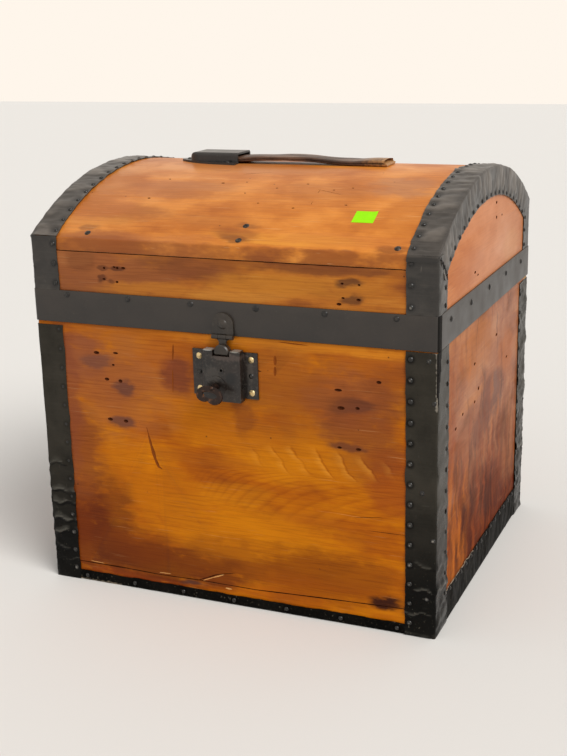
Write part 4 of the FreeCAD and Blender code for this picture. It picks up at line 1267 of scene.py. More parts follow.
@dataclass
class DomeBoard(Board):
    """Thin board bent over the lid's end boards, its edges square to the walls."""

    steps: int = 74
    reach: float = math.radians(37)

    def is_outside(self, face: bpy.types.MeshPolygon) -> bool:
        """Its bent top and the square edges at the front and back."""
        return face.normal.z > 0.3 or abs(face.normal.y) > 0.9

    def shape(self) -> Piece:
        """The bent board: its section spun about the dome's axis, then trimmed.

        Returns:
            The board before its edges are eased.
        """
        low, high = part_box(self.node)
        bpy.ops.mesh.primitive_plane_add(
            size=1, location=point(0, 0, DOME_CZ + (DOME_R + DOME_IN_R) / 2),
            rotation=(math.pi / 2, 0, 0))
        piece = sized("new_" + self.node, high.x - low.x, (DOME_R - DOME_IN_R) * MM, 1)
        axis = point(0, 0, DOME_CZ)
        with editing(piece):
            bpy.ops.mesh.select_all(action="SELECT")
            turn(self.reach, "X", axis)
            bpy.ops.mesh.spin(steps=self.steps, angle=2 * self.reach, center=axis,
                              axis=(1, 0, 0))
            for side in (-1, 1):
                cut(point(0, side * WALL_Y, 0), (0, side, 0), use_fill=True,
                    clear_outer=True)
            cut(point(0, 0, SEAM_Z), (0, 0, 1), use_fill=True, clear_inner=True)
            bpy.ops.mesh.select_all(action="SELECT")
            bpy.ops.mesh.remove_doubles(threshold=1e-6)
            bpy.ops.mesh.normals_make_consistent(inside=False)
        return piece


# ---- sheet iron


@dataclass(frozen=True)
class Gap:
    """Wedge of a strip's faces drawn in painted shade where it gapes: from start to end,
    with its two widths.
    """

    start: Vector
    end: Vector
    first: float
    last: float

    def shows(self, place: Vector) -> bool:
        """Whether a place in millimetres lies in the wedge."""
        way = self.end - self.start
        rest = place - self.start
        share = clamp(rest.dot(way) / way.length_squared)
        return (rest - way * share).length < (
            self.first + (self.last - self.first) * share) / 2


@dataclass(frozen=True)
class Crease:
    """Kink across a strip: the sheet bulges out above a sharp, pinched fold."""

    along: float
    depth: float = 1.2
    tilt: float = 0.0

    def work(self, across: float, along: float) -> tuple[float, float]:
        """The kink at a place on the flat sheet.

        Args:
            across: place across the sheet, in millimetres.
            along: place along it.

        Returns:
            How far the sheet rises in millimetres, and how much lighter it is drawn on the
            lip, as rubbed wear and painted highlight, where a number below 0 is painted
            shade in the fold.
        """
        off = (along - self.along - self.tilt * across
               - 1.2 * math.sin(across / 2.6 + self.along))

        def hump(place: float, wide: float) -> float:
            """A soft hump at a place across the kink."""
            return math.exp(-((off - place) / wide) ** 2)

        rise = (hump(3.8, 3.0) + 0.6 * hump(1.1, 1.0)) * (off > -0.6)
        # painted highlight on the lip above the fold, partly rubbed wear, and painted shade
        # in the fold
        rubbed = 0.8 * hump(1.6, 0.9) - 1.2 * hump(-0.9, 1.2)
        return self.depth * rise, self.depth * rubbed


def keep_inside(piece: Piece) -> None:
    """Hold a piece between the trunk's widest heads and off the floor."""
    for vert in piece.data.vertices:
        vert.co.x = clamp(vert.co.x, -WIDEST * MM, WIDEST * MM)
        vert.co.z = max(0.0, vert.co.z)


def worn_fold(place: Vector, fold: float) -> float:
    """Wear of a strip that is handled evenly: a little along its fold."""
    return max(0.0, 0.3 - fold / 9)


def clouds(name: str, size: float, kind: str = "SOFT_NOISE") -> bpy.types.Texture:
    """Clouds of a size, soft or sharp, that push a sheet in and out."""
    texture = bpy.data.textures.new(name, "CLOUDS")
    texture.noise_scale, texture.noise_type = size, kind
    return texture


@dataclass
class SheetStrip:
    """Strip of thin sheet iron, nailed along both edges and folded over an edge of the box.

    dent and wrinkle are the depths of its soft and sharp dents; crumple and worn say where
    it is wrinkled and bare, and nail_shadow_share how dark the painted shadow round its
    nails is; squeeze draws its wrinkles out along it.
    A nail holds it flat to a radius of held, and lets go of it over let_go.
    """

    node: str
    body: str
    skin: str
    nails: list[tuple[Vector, Vector]]
    dent: float = 1.8
    wrinkle: float = 3.4
    crumple: Callable[[Vector], float] = lambda place: 0.4
    worn: Callable[[Vector, float], float] = worn_fold
    creases: tuple[Crease, ...] = ()
    squeeze: float = 0.4
    nail_shadow_share: float = 0.85
    gaps: tuple[Gap, ...] = ()
    ragged: float = 1.8
    shear_bite: float = 13.0
    cell: float = 1.7
    held: float = 2.2
    let_go: float = 6.0

    def __post_init__(self) -> None:
        """Index the nails, to find the nearest one to a place."""
        self.near = KDTree(len(self.nails))
        for number, (nail, _) in enumerate(self.nails):
            self.near.insert(nail, number)
        self.near.balance()

    def from_nail(self, place: Vector) -> float:
        """Distance from a place to the nearest nail, in millimetres."""
        return self.near.find(place)[2] / MM

    def measure(self, place: Vector) -> tuple[float, float, float, float]:
        """Where a place in metres lies on the sheet.

        Args:
            place: the place.

        Returns:
            Its place on the sheet before it was folded, across and along it, how far it
            is from the fold, and how far it stands out of the undented sheet, in
            millimetres.
        """
        raise NotImplementedError

    def lay_flat(self, piece: Piece) -> None:
        """Give the sheet the UV map of its flat shape, squeezed to draw wrinkles out."""
        mesh = piece.data
        while mesh.uv_layers:
            mesh.uv_layers.remove(mesh.uv_layers[0])
        laid = mesh.uv_layers.new(name="flat")
        shift = random.Random(self.node).uniform(0, 9)
        for loop in mesh.loops:
            across, along, *_ = self.measure(mesh.vertices[loop.vertex_index].co)
            laid.data[loop.index].uv = (across / 100 * self.squeeze, along / 100 + shift)

    def hammer(self, piece: Piece, finishes: Finishes, *rims: Rim) -> None:
        """Dent the sheet between its nails, trim its edges and give it its thickness.

        Args:
            piece: the folded sheet, with no thickness yet.
            finishes: the finishes.
            rims: axis along which each cut edge wanders, and a test for its places.
        """
        mesh = piece.data
        self.lay_flat(piece)
        slack = piece.vertex_groups.new(name="slack")
        loose = piece.vertex_groups.new(name="loose")
        normals = [vert.normal.copy() for vert in mesh.vertices]
        crease_rub_and_shade = [0.0] * len(normals)
        for vert, out in zip(mesh.vertices, normals):
            across, along, fold, _ = self.measure(vert.co)
            free = clamp((self.from_nail(vert.co) - self.held) / self.let_go)
            free *= min(1.0, 0.35 + fold / 8) * (vert.co.z >= FLOOR_GAP * MM)
            slack.add([vert.index], free, "REPLACE")
            loose.add([vert.index], free * min(1.0, self.crumple(vert.co / MM)), "REPLACE")
            for crease in self.creases:
                rise, rubbed = crease.work(across, along)
                vert.co += out * (rise * free * MM)
                crease_rub_and_shade[vert.index] += rubbed * free
        for texture, strength, group, level in (
                (clouds("dents", 0.52), self.dent, "slack", 0.36),
                (clouds("wrinkles", 0.22, "HARD_NOISE"), self.wrinkle, "loose", 0.2)):
            modify(piece, "DISPLACE", texture=texture, texture_coords="UV", uv_layer="flat",
                   vertex_group=group, strength=strength * MM, mid_level=level)
        for axis, test in rims:
            piece.vertex_groups.clear()
            rim = piece.vertex_groups.new(name="rim")
            rim.add([v.index for v in mesh.vertices if test(v.co / MM)], 1.0, "REPLACE")
            modify(piece, "DISPLACE", texture=clouds("shears", self.shear_bite * MM),
                   texture_coords="LOCAL", direction=axis, vertex_group="rim",
                   strength=self.ragged * MM, mid_level=0.5)
        keep_inside(piece)
        marks = {"wear": [], "ridge": [], "dirt": []}
        for vert in mesh.vertices:
            *_, fold, proud = self.measure(vert.co)
            marks["wear"].append(self.worn(vert.co / MM, fold))
            # bulges and crease lips drawn lighter, folds and hollows darker: rubbed wear
            # with painted highlight and painted shade
            marks["ridge"].append((0.45 if self.creases else 1.0) * proud
                                  + crease_rub_and_shade[vert.index])
            # painted shadow: a dark ring out to about 5 mm from each nail
            dirt = clamp(1 - (self.from_nail(vert.co) - 2.4) / 3)
            marks["dirt"].append(self.nail_shadow_share * dirt)
        modify(piece, "SOLIDIFY", thickness=(SHEET_T - 0.1) * MM, offset=-1)
        keep_inside(piece)
        for name, values in marks.items():
            mark(piece, name, [values[i % len(normals)] for i in range(len(mesh.vertices))])
        self.dress(piece, finishes, 50)

    def dress(self, piece: Piece, finishes: Finishes, sharp: float) -> None:
        """Black the sheet, lay painted shade on its faces where it gapes, and hand it in.

        Args:
            piece: the finished sheet.
            finishes: the finishes.
            sharp: angle past which its edges are sharp, in degrees.
        """
        for skin in (self.skin, "painted_gap_shade"):
            piece.data.materials.append(finishes[skin])
        # faces inside a gap take the painted shade
        for face in piece.data.polygons:
            if any(gap.shows(face.center / MM) for gap in self.gaps):
                face.material_index = 1
        hand_in(piece, sharp, self.body, self.node)

    def draw_out(self, way: Vector, width: float) -> None:
        """Extend the selected edge into the second leg, in edit mode.

        Args:
            way: direction of the leg.
            width: its width in millimetres.
        """
        count = max(2, round(width / self.cell))
        for _ in range(count):
            extrude(way * width / count * MM)

    def face_out(self, piece: Piece, place: Vector, out: Vector) -> None:
        """Turn all faces outwards, judged by the face nearest a place.

        Args:
            piece: open sheet.
            place: a place on it, in metres.
            out: the outward direction there.
        """
        with editing(piece):
            bpy.ops.mesh.select_all(action="SELECT")
            bpy.ops.mesh.normals_make_consistent(inside=False)
        near = min(piece.data.polygons, key=lambda f: (f.center - place).length)
        if near.normal.dot(out) < 0:
            with editing(piece):
                bpy.ops.mesh.select_all(action="SELECT")
                bpy.ops.mesh.flip_normals()


@dataclass
class FoldedStrip(SheetStrip):
    """Strip folded along a straight edge of the box.

    start is one end of the fold; leg_a and leg_b are the directions of the two legs
    from the fold, each with its width.
    """

    start: Vector = Vector((0, 0, 0))
    run: Vector = Vector((0, 0, 1))
    length: float = 100.0
    leg_a: Vector = Vector((1, 0, 0))
    wide_a: float = 27.0
    leg_b: Vector = Vector((0, 1, 0))
    wide_b: float = 27.0
    fold_r: float = 2.0

    def measure(self, place: Vector) -> tuple[float, float, float, float]:
        """Where a place in metres lies on the strip, as SheetStrip says."""
        rest = (place - self.start * MM) / MM
        a, b = rest.dot(self.leg_a), rest.dot(self.leg_b)
        return a - b, rest.dot(self.run), max(abs(a), abs(b)), max(-a, -b)

    def build(self, finishes: Finishes) -> None:
        """Cut, fold, hammer and place the strip.

        Args:
            finishes: the finishes.
        """
        middle = self.start + self.run * self.length / 2 + self.leg_a * self.wide_a / 2
        across = self.run.cross(-self.leg_b)
        stance = Matrix((across, self.run, across.cross(self.run))).transposed()
        bpy.ops.mesh.primitive_grid_add(
            x_subdivisions=round(self.wide_a / self.cell),
            y_subdivisions=round(self.length / self.cell), size=1, location=middle * MM,
            rotation=stance.to_euler())
        piece = sized("new_" + self.node, self.wide_a * MM, self.length * MM, 1)
        with editing(piece):
            pick("EDGE", lambda p, n: abs((p - self.start).dot(self.leg_a)) < 0.01)
            self.draw_out(self.leg_b, self.wide_b)
            pick("EDGE", lambda p, n: abs((p - self.start).dot(self.leg_a)) < 0.01
                 and abs((p - self.start).dot(self.leg_b)) < 0.01)
            bpy.ops.mesh.bevel(offset=self.fold_r * MM, segments=3, affect="EDGES")
        self.face_out(piece, middle * MM, -self.leg_b)

        def rim(leg: Vector, width: float) -> Rim:
            """Axis and test of one leg's cut edge."""
            return ("XYZ"[max(range(3), key=lambda i: abs(leg[i]))],
                    lambda p: (p - self.start).dot(leg) > width - 0.3)

        self.hammer(piece, finishes, rim(self.leg_a, self.wide_a),
                    rim(self.leg_b, self.wide_b))


@dataclass
class ArchedStrip(SheetStrip):
    """Strip folded over the curved edge between the dome and an end of the lid.

    The right one's foot is drawn out and down by the steps of tail, over the corner.
    """

    side: int = 1
    top_wide: float = 27.0
    end_wide: float = 27.0
    fold_r: float = 1.3
    steps: int = 190
    tail: tuple[tuple[float, float], ...] = ((0.9, -0.9), (0.5, -2.0), (0.0, -2.4))

    def measure(self, place: Vector) -> tuple[float, float, float, float]:
        """Where a place in metres lies on the strip, as SheetStrip says."""
        x, y, z = place / MM
        deep = abs(x - self.side * HALF_W)
        above = math.hypot(y, z - DOME_CZ) - DOME_R - SHEET_T
        return (deep + above, math.atan2(y, z - DOME_CZ) * DOME_R, max(deep, abs(above)),
                max(abs(x) - HALF_W, above))

    def build(self, finishes: Finishes) -> None:
        """Fold a short piece at the crown and carry it round the arch.

        Args:
            finishes: the finishes.
        """
        edge = self.side * HALF_W
        crown = DOME_CZ + DOME_R + SHEET_T
        axis = point(0, 0, DOME_CZ)
        bpy.ops.mesh.primitive_grid_add(
            x_subdivisions=round(self.top_wide / 1.8), y_subdivisions=1, size=1,
            location=point(edge - self.side * self.top_wide / 2, 0.5, crown))
        piece = sized("new_" + self.node, self.top_wide * MM, 1 * MM, 1)
        with editing(piece):
            pick("EDGE", lambda p, n: abs(p.x - edge) < 0.01)
            self.draw_out(Vector((0, 0, -1)), self.end_wide)
            pick("EDGE", lambda p, n: abs(p.x - edge) < 0.01 and abs(p.z - crown) < 0.01)
            bpy.ops.mesh.bevel(offset=self.fold_r * MM, segments=3, affect="EDGES")
            pick("VERT", lambda p, n: p.y > 0.5)
            bpy.ops.mesh.delete(type="VERT")
            bpy.ops.mesh.select_all(action="SELECT")
            turn(DOME_A, "X", axis)
            bpy.ops.mesh.spin(steps=self.steps, angle=2 * DOME_A, center=axis,
                              axis=(1, 0, 0))
            bpy.ops.mesh.select_all(action="SELECT")
            bpy.ops.mesh.remove_doubles(threshold=1e-6)
            foot = (DOME_R + SHEET_T) * math.sin(DOME_A)
            for way in (-1, 1) if self.side > 0 else ():
                pick("EDGE", lambda p, n: way * p.y > foot - 0.2 and abs(n.x) > 0.9)
                for out, down in self.tail:
                    extrude(point(0, way * out, down))
        self.face_out(piece, point(edge - self.side * self.top_wide / 2, 0, crown),
                      Vector((0, 0, 1)))
        cut_edge = edge - self.side * self.top_wide
        self.hammer(piece, finishes, ("X", lambda p: abs(p.x - cut_edge) < 0.3))


@dataclass
class LidBand(SheetStrip):
    """Heavier iron band round the lid's lower edge, closed at its corners.

    It is cut into cells of row by pitch to bow between its nails, and once more by_gap.
    """

    wall: float = 1.5
    fold_r: float = 3.2
    lip: float = 0.35
    bow: float = 0.5
    bow_long: float = 60.0
    row: float = 7.4
    pitch: int = 12
    by_gap: int = -157

    def build(self, finishes: Finishes) -> None:
        """Bend a box's four sides into the band, with a rolled top lip.

        Args:
            finishes: the finishes.
        """
        low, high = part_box(self.node)
        piece = block(low, high, "new_" + self.node)
        with editing(piece):
            pick("FACE", lambda p, n: abs(n.z) > 0.9)
            bpy.ops.mesh.delete(type="FACE")
            pick("EDGE", lambda p, n: abs(n.z) > 0.9)
            bpy.ops.mesh.bevel(offset=self.fold_r * MM, segments=5, affect="EDGES")
            for step in range(1, 4):
                cut(Vector((0, 0, low.z + step * self.row * MM)), (0, 0, 1))
            for axis, reach in ((0, 180), (1, 154)):
                for place in (self.by_gap, *range(-reach, reach + 1, self.pitch)):
                    middle, way = Vector((0, 0, 0)), Vector((0, 0, 0))
                    middle[axis], way[axis] = place * MM, 1
                    cut(middle, way)
        group = piece.vertex_groups.new(name="slack")
        for vert in piece.data.vertices:
            group.add([vert.index], clamp((self.from_nail(vert.co) - 4) / 12), "REPLACE")
        modify(piece, "DISPLACE", texture=clouds("bows", self.bow_long * MM),
               texture_coords="LOCAL", vertex_group="slack", strength=self.bow * MM,
               mid_level=0.45)
        modify(piece, "SOLIDIFY", thickness=self.wall * MM, offset=-1, use_even_offset=True)
        modify(piece, "BEVEL", width=self.lip * MM, segments=2, limit_method="ANGLE",
               angle_limit=math.radians(60))
        mark(piece, "wear", [
            0.3 * (v.co.z > high.z - 0.6 * MM) for v in piece.data.vertices])
        self.dress(piece, finishes, 40)


@dataclass
class Tacks:
    """Forged tacks, one head modelled and copied to every nail of a CAD node."""

    node: str
    body: str
    radius: float = 2.45
    height: float = 1.28
    more: tuple[tuple[Vector, Vector], ...] = ()
    skin: str = "black_nail_iron"
    sunk: Callable[[Vector], float] = lambda place: 0.0
    neck: float = 0.8

    def head(self) -> Piece:
        """Cut a flattened ball to a cap with a short neck.

        Returns:
            The head, its top at the origin and pointing up.
        """
        tall = self.height * 1.5
        bpy.ops.mesh.primitive_uv_sphere_add(segments=12, ring_count=8, radius=1)
        piece = sized("tack", self.radius * MM, self.radius * MM, tall * MM)
        with editing(piece):
            cut(point(0, 0, tall - self.height), (0, 0, 1), clear_inner=True)
            pick("EDGE", lambda p, n: p.z < tall - self.height + 0.01)
            extrude(point(0, 0, -self.neck))
            bpy.ops.mesh.edge_face_add()
            bpy.ops.mesh.select_all(action="SELECT")
            bpy.ops.mesh.normals_make_consistent(inside=False)
            bpy.ops.transform.translate(value=point(0, 0, -tall))
        smooth(piece, 60)
        return piece

    def build(self, finishes: Finishes) -> None:
        """Drive the tacks, each a little out of true, and join them.

        Args:
            finishes: the finishes.
        """
        pattern = self.head()
        chance = random.Random(self.node)
        made = []
        for place, out in (*heads(self.node), *self.more):
            tack = pattern.copy()
            tack.data = pattern.data.copy()
            bpy.context.scene.collection.objects.link(tack)
            lean = Vector(chance.uniform(-0.1, 0.1) for _ in range(3))
            sunk = self.sunk(place / MM)
            painted = sunk or chance.uniform(0, 0.12)
            mark(tack, "painted", [painted] * len(tack.data.vertices))
            tack.matrix_world = (
                Matrix.Translation(place - out * sunk * MM)
                @ (out + lean).to_track_quat("Z", "Y").to_matrix().to_4x4()
                @ Matrix.Diagonal((chance.uniform(0.9, 1.08), chance.uniform(0.9, 1.08),
                                   chance.uniform(0.85, 1.0), 1))
                @ Matrix.Rotation(chance.uniform(0, 3), 4, "Z"))
            made.append(tack)
        bpy.data.objects.remove(pattern)
        take(*made)
        bpy.ops.object.join()
        piece = settle(bpy.context.object, "new_" + self.node)
        keep_inside(piece)
        piece.data.materials.clear()
        piece.data.materials.append(finishes[self.skin])
        hand_in(piece, None, self.body, self.node)


# ---- handle and label


@dataclass
class HandleStrap:
    """Thick leather strap that runs out of its cap and comes down on the dome.

    knots are places along it and how far it is lifted there, as a share of lift. It is
    cut into cells by pitch and rows to bend, and by two more cuts that pinch its waist.
    """

    start: float = -84.0
    end: float = 97.6
    land: float = 64.0
    width: float = 25.0
    thick: float = 4.8
    lift: float = 3.3
    rest: float = 384.1
    knots: tuple[tuple[float, float], ...] = (
        (-84.0, 0.30), (-52.0, 0.42), (-30.0, 0.79), (-8.0, 1.0), (20.0, 0.79),
        (46.0, 0.26), (64.0, 0.0), (98.0, 0.0))
    pitch: int = 3
    rows: tuple[float, ...] = (-10.5, -7, -3.5, 0, 3.5, 7, 10.5)
    waist: tuple[float, float] = (0.46, 0.54)
    edge_r: float = 1.3
    frayed: float = 46.0

    def under(self, x: float) -> float:
        """Height of the strap's underside over the dome at a place along it."""
        for (x0, k0), (x1, k1) in zip(self.knots, self.knots[1:]):
            if x <= x1:
                return self.lift * (k0 + (k1 - k0) * clamp((x - x0) / (x1 - x0)))
        return 0.0

    def bend(self, place: Vector, chance: random.Random) -> Vector:
        """Bend a place of the flat strap to its line.

        Args:
            place: place on the flat strap, in metres.
            chance: what frays its end.

        Returns:
            Its place on the trunk.
        """
        x, y, z = place / MM
        crown = 1 - 0.18 * abs(y / (self.width / 2)) ** 2
        up = z / self.thick
        if x > self.end - 1:
            x += chance.uniform(-1.6, 0.2) - 6.5 * (up > 0.5) - 3.0 * (y < 0) * (up > 0.5)
        thin = 1 + 0.35 * clamp((x - self.end + 34) / 18)
        wave = 0.35 * math.sin(x / 9.0 + y / 14) * up
        height = z * crown * thin + wave * (0.4 if x > self.land else 1)
        return point(x, y + 0.5 * math.sin(x / 31), self.rest + self.under(x) + height)

    def build(self, finishes: Finishes) -> None:
        """Cut the strap, round its edges, bend it to its line and fray its end.

        Args:
            finishes: the finishes.
        """
        half = self.width / 2
        piece = block(point(self.start, -half, 0), point(self.end, half, self.thick),
                      "new_handle_strap")
        with editing(piece):
            for place in range(int(self.start) + self.pitch, int(self.end), self.pitch):
                cut(point(place, 0, 0), (1, 0, 0))
            for place in self.rows:
                cut(point(0, place, 0), (0, 1, 0))
            for share in self.waist:
                cut(point(0, 0, share * self.thick), (0, 0, 1))
            pick("EDGE", lambda p, n: abs(n.x) > 0.9 and abs(p.y) > half - 0.1)
            bpy.ops.mesh.bevel(offset=self.edge_r * MM, segments=3, affect="EDGES")
        chance = random.Random(7)
        for vert in piece.data.vertices:
            vert.co = self.bend(vert.co, chance)
        piece.data.update()
        modify(piece, "SUBSURF", levels=1, render_levels=1)
        mark(piece, "fray", [
            clamp((v.co.x / MM - self.end + self.frayed) / 30)
            * (0.55 + 0.45 * (v.co.x / MM > self.end - 6)) for v in piece.data.vertices])
        piece.data.materials.append(finishes["harness_leather"])
        hand_in(piece, 60, "lid", "handle_strap")


@dataclass
class PaperLabel:
    """Small blank label stuck to the dome, one corner lifting a little."""

    curl: float = 0.7
    curl_reach: float = 6.0
    glue: float = 0.06
    thick: float = 0.12

    def build(self, finishes: Finishes) -> None:
        """Cut the label and smooth it onto the dome.

        Args:
            finishes: the finishes.
        """
        low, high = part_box("blank_label")
        bpy.ops.mesh.primitive_grid_add(
            x_subdivisions=10, y_subdivisions=10, size=1,
            location=((low.x + high.x) / 2, (low.y + high.y) / 2, 0))
        piece = sized("new_blank_label", high.x - low.x, high.y - low.y, 1)
        for vert in piece.data.vertices:
            reach = (high.xy - vert.co.xy).length / MM
            radius = (DOME_R + self.glue
                      + self.curl * max(0.0, 1 - reach / self.curl_reach) ** 2)
            vert.co.z = (DOME_CZ + math.sqrt(radius ** 2 - (vert.co.y / MM) ** 2)) * MM
        modify(piece, "SOLIDIFY", thickness=self.thick * MM, offset=1)
        piece.data.materials.append(finishes["label_paper"])
        hand_in(piece, 50, "lid", "blank_label")


# ---- sub-assemblies


def crushed(name: str, place: Vector) -> float:
    """How crumpled a base corner strip is at a place in millimetres."""
    return {"front_left": 0.1 + 0.6 * (place.z < 120),
            "front_right": 0.1 + max(0.0, (64 - place.z) / 80),
            "rear_left": 0.3, "rear_right": 0.9}[name]


def corner_wear(place: Vector, fold: float) -> float:
    """Wear of a base corner strip: its fold, its cut top and its foot."""
    wear = max(0.0, 0.34 - fold / 9) + 0.5 * (place.z > 253.4)
    if place.z < 14:
        wear += max(0.0, 0.8 - place.z / 14) * max(0.0, 1 - fold / 14)
    if place.z > 205 and place.x > 0:
        wear += max(0.0, 0.64 - fold / 6)
    return wear


@dataclass
class Base:
    """Nailed box: four walls and a bottom, bound in sheet iron.

    rise is how far a bottom strip comes up the wall, and under how far it goes below.
    """

    corner_tall: float = 252.4
    sprung_tall: float = 254.8
    corner_legs: tuple[float, float] = (27.0, 34.0)
    front_run: float = 327.0
    front_rise: float = 10.0
    end_run: float = 262.0
    end_rise: float = 31.0
    under: float = 12.8
    front_holes: tuple[Hole, ...] = tuple(Hole(x, z) for x, z in (
        (-129.7, 229.2), (-109.8, 230.4), (-120.5, 205), (-106.5, 204.4), (-119.6, 166.8),
        (-103.3, 166.6), (-113, 219), (104, 216), (140, 226), (106.3, 200.4),
        (121.1, 201.5), (104.6, 165), (121.7, 165.1)))
    end_holes: tuple[Hole, ...] = tuple(Hole(y, z) for y, z in (
        (37.6, 221.6), (-43.2, 214.1), (-81.8, 178.3), (-104.7, 172), (-27.5, 186.7),
        (-40.5, 177.6), (82.4, 188.3)))
    bruises: tuple[Split, ...] = tuple(Split(*row, "bruised_pine") for row in (
        (((-82, 162.2), (-79.8, 153)), 1.0, 0.4),
        (((-80.4, 155), (-77.4, 142)), 2.6, 0.7),
        (((-78, 145), (-74.8, 133), (-71.8, 126)), 3.4, 0.8),
        (((-73, 127), (-68.6, 124.4)), 1.8, 0.5),
        (((-50.8, 241.7), (-51.8, 230)), 2.4, 0.6),
        (((-52.4, 218), (-53.1, 201)), 1.8, 0.5),
        (((46.9, 240), (46.8, 233.5)), 2.8, 0.6),
        (((46.7, 230.5), (46.4, 224)), 3.0, 0.6),
        (((53, 253.4), (75, 252.6)), 0.9, 0.4)))
    cracks: tuple[Split, ...] = tuple(Split(*row) for row in (
        (((28, 226.5), (33, 226)), 1.6, 0.6),
        (((-36, 19), (-26, 23.4), (-17, 27.5), (-2, 31)), 0.9, 1.4),
        (((-30, 20), (-20, 24.4), (-11, 28)), 1.3, 0.5, "fresh_split_pine"),
        (((-76, 20.2), (-66, 20.6)), 1.1, 0.4, "fresh_split_pine"),
        (((-150, 20.6), (-138, 20.2)), 0.9, 0.4, "fresh_split_pine"),
        (((-8, 15.4), (-3, 15.2)), 1.6, 0.5, "fresh_split_pine"),
        (((134, 92.4), (163, 92.6)), 0.5, 0.5),
        (((120, 103), (140, 106)), 0.6, 0.6),
        (((-163, 19), (-136, 18.9), (-111, 18.8), (-76, 18), (-52, 18.6), (-36, 19),
          (-8, 18.8), (23, 18.7), (62, 20.4), (110, 22.2), (163, 23.8)), 1.2, 2.6)))

    def boards(self) -> list[Board]:
        """The five boards, not built yet."""
        faces, ends, flat = "sawn_pine_faces", "sawn_pine_ends", "sawn_pine_flat"
        return [
            Board("base_front_board", "base", Side.FRONT, "shellacked_pine_front", faces,
                  self.front_holes, self.bruises + self.cracks),
            Board("base_back_board", "base", Side.BACK, "shellacked_pine_back", faces),
            Board("base_left_end", "base", Side.LEFT, "shellacked_pine_left_end", ends),
            Board("base_right_end", "base", Side.RIGHT, "shellacked_pine_right_end", ends,
                  self.end_holes),
            Board("base_bottom_board", "base", Side.UNDER, flat, flat)]

    def corners(self) -> list[FoldedStrip]:
        """The corner bindings; the front right one has sprung open at its top, drawn as
        painted shade down its fold.

        Returns:
            The strips, not built yet.
        """
        nails = heads("base_corner_nails")
        kinks = {
            "front_left": ((117, 0.8, 0.05), (91, 1.2, -0.1), (76, 1.5, 0.1),
                           (61, 1.6, -0.05), (46, 1.3, 0.12), (31, 0.9, -0.1),
                           (17, 0.6, 0.1)),
            "front_right": ((118, 0.35, 0.2), (64, 0.7, 0.15), (42, 1.0, 0.1),
                            (22, 0.7, -0.1)),
            "rear_left": ((60, 1.2, 0.1),),
            "rear_right": ((150, 1.2, 0.1), (70, 1.6, -0.1))}
        made = [FoldedStrip(
            "base_corner_binding_" + name, "base", "black_sheet_iron", nails,
            crumple=partial(crushed, name), creases=tuple(Crease(*k) for k in kinks[name]),
            nail_shadow_share=0.8, worn=corner_wear, start=Vector((sx * HALF_W, sy * HALF_D, 0)),
            length=self.corner_tall, leg_a=Vector((-sx, 0, 0)), wide_a=self.corner_legs[0],
            leg_b=Vector((0, -sy, 0)), wide_b=self.corner_legs[1])
            for name, (sx, sy) in CORNERS.items()]
        made[0].nail_shadow_share = 0.35
        made[1].length = self.sprung_tall
        # painted shade: a dark wedge down the front right fold, where the strip stands open
        made[1].gaps = (
            Gap(Vector((191.5, -159.5, 257)), Vector((191.5, -164.8, 200)), 11.0, 1.0),)
        return made

    def bottoms(self) -> list[FoldedStrip]:
        """The bottom bindings.

        Returns:
            The strips, not built yet.
        """
        nails = heads("bottom_binding_nails")
        common = {"body": "base", "skin": "black_bottom_iron", "nails": nails,
                  "leg_a": Vector((0, 0, 1)), "wide_b": self.under}
        made = [FoldedStrip(
            "bottom_binding_" + name, **common, dent=1.2, wrinkle=1.2,
            # the pale bare tone on the left part of the fold is worn metal and also a
            # painted highlight
            worn=lambda p, fold: 0.95 * (p.x < -118) * max(0.0, 1 - fold / 4),
            start=Vector((-self.front_run / 2, sy * HALF_D, 0)), run=Vector((1, 0, 0)),
            length=self.front_run, wide_a=self.front_rise, leg_b=Vector((0, -sy, 0)))
            for name, sy in (("front", -1), ("back", 1))]
        return made + [FoldedStrip(
            "bottom_binding_" + name, **common,
            # the pale bare tone along the top edge is worn metal and also a painted
            # highlight
            worn=lambda p, fold: 0.1 + (0.75 if p.y < -40 else 0.35) * (p.z > 29.6),
            start=Vector((sx * HALF_W, -self.end_run / 2, 0)), run=Vector((0, 1, 0)),
            length=self.end_run, wide_a=self.end_rise, leg_b=Vector((-sx, 0, 0)))
            for name, sx in (("left", -1), ("right", 1))]

    def tacks(self) -> list[Tacks]:
        """The tacks, with five more through the front right corner's fold."""
        fold = tuple((point(x, -HALF_D - 1.1, z), Vector((0, -1, 0))) for x, z in (
            (187.5, 212), (188, 91), (183, 248), (178, 133), (183, 37)))
        return [Tacks("base_corner_nails", "base", more=fold, skin="worn_and_highlit_nail_iron",
                      sunk=lambda p: 0.95 * (p.x < 0 and p.y < 0 and p.z > 76)),
                Tacks("bottom_binding_nails", "base", radius=2.2)]

    def build(self, finishes: Finishes) -> None:
        """Build the boards and strips and finish the fastenings.

        Args:
            finishes: the finishes.
        """
        for part in [*self.boards(), *self.corners(), *self.bottoms(), *self.tacks()]:
            part.build(finishes)
        finishes.paint("wire_nail_steel", "base_wall_nails")


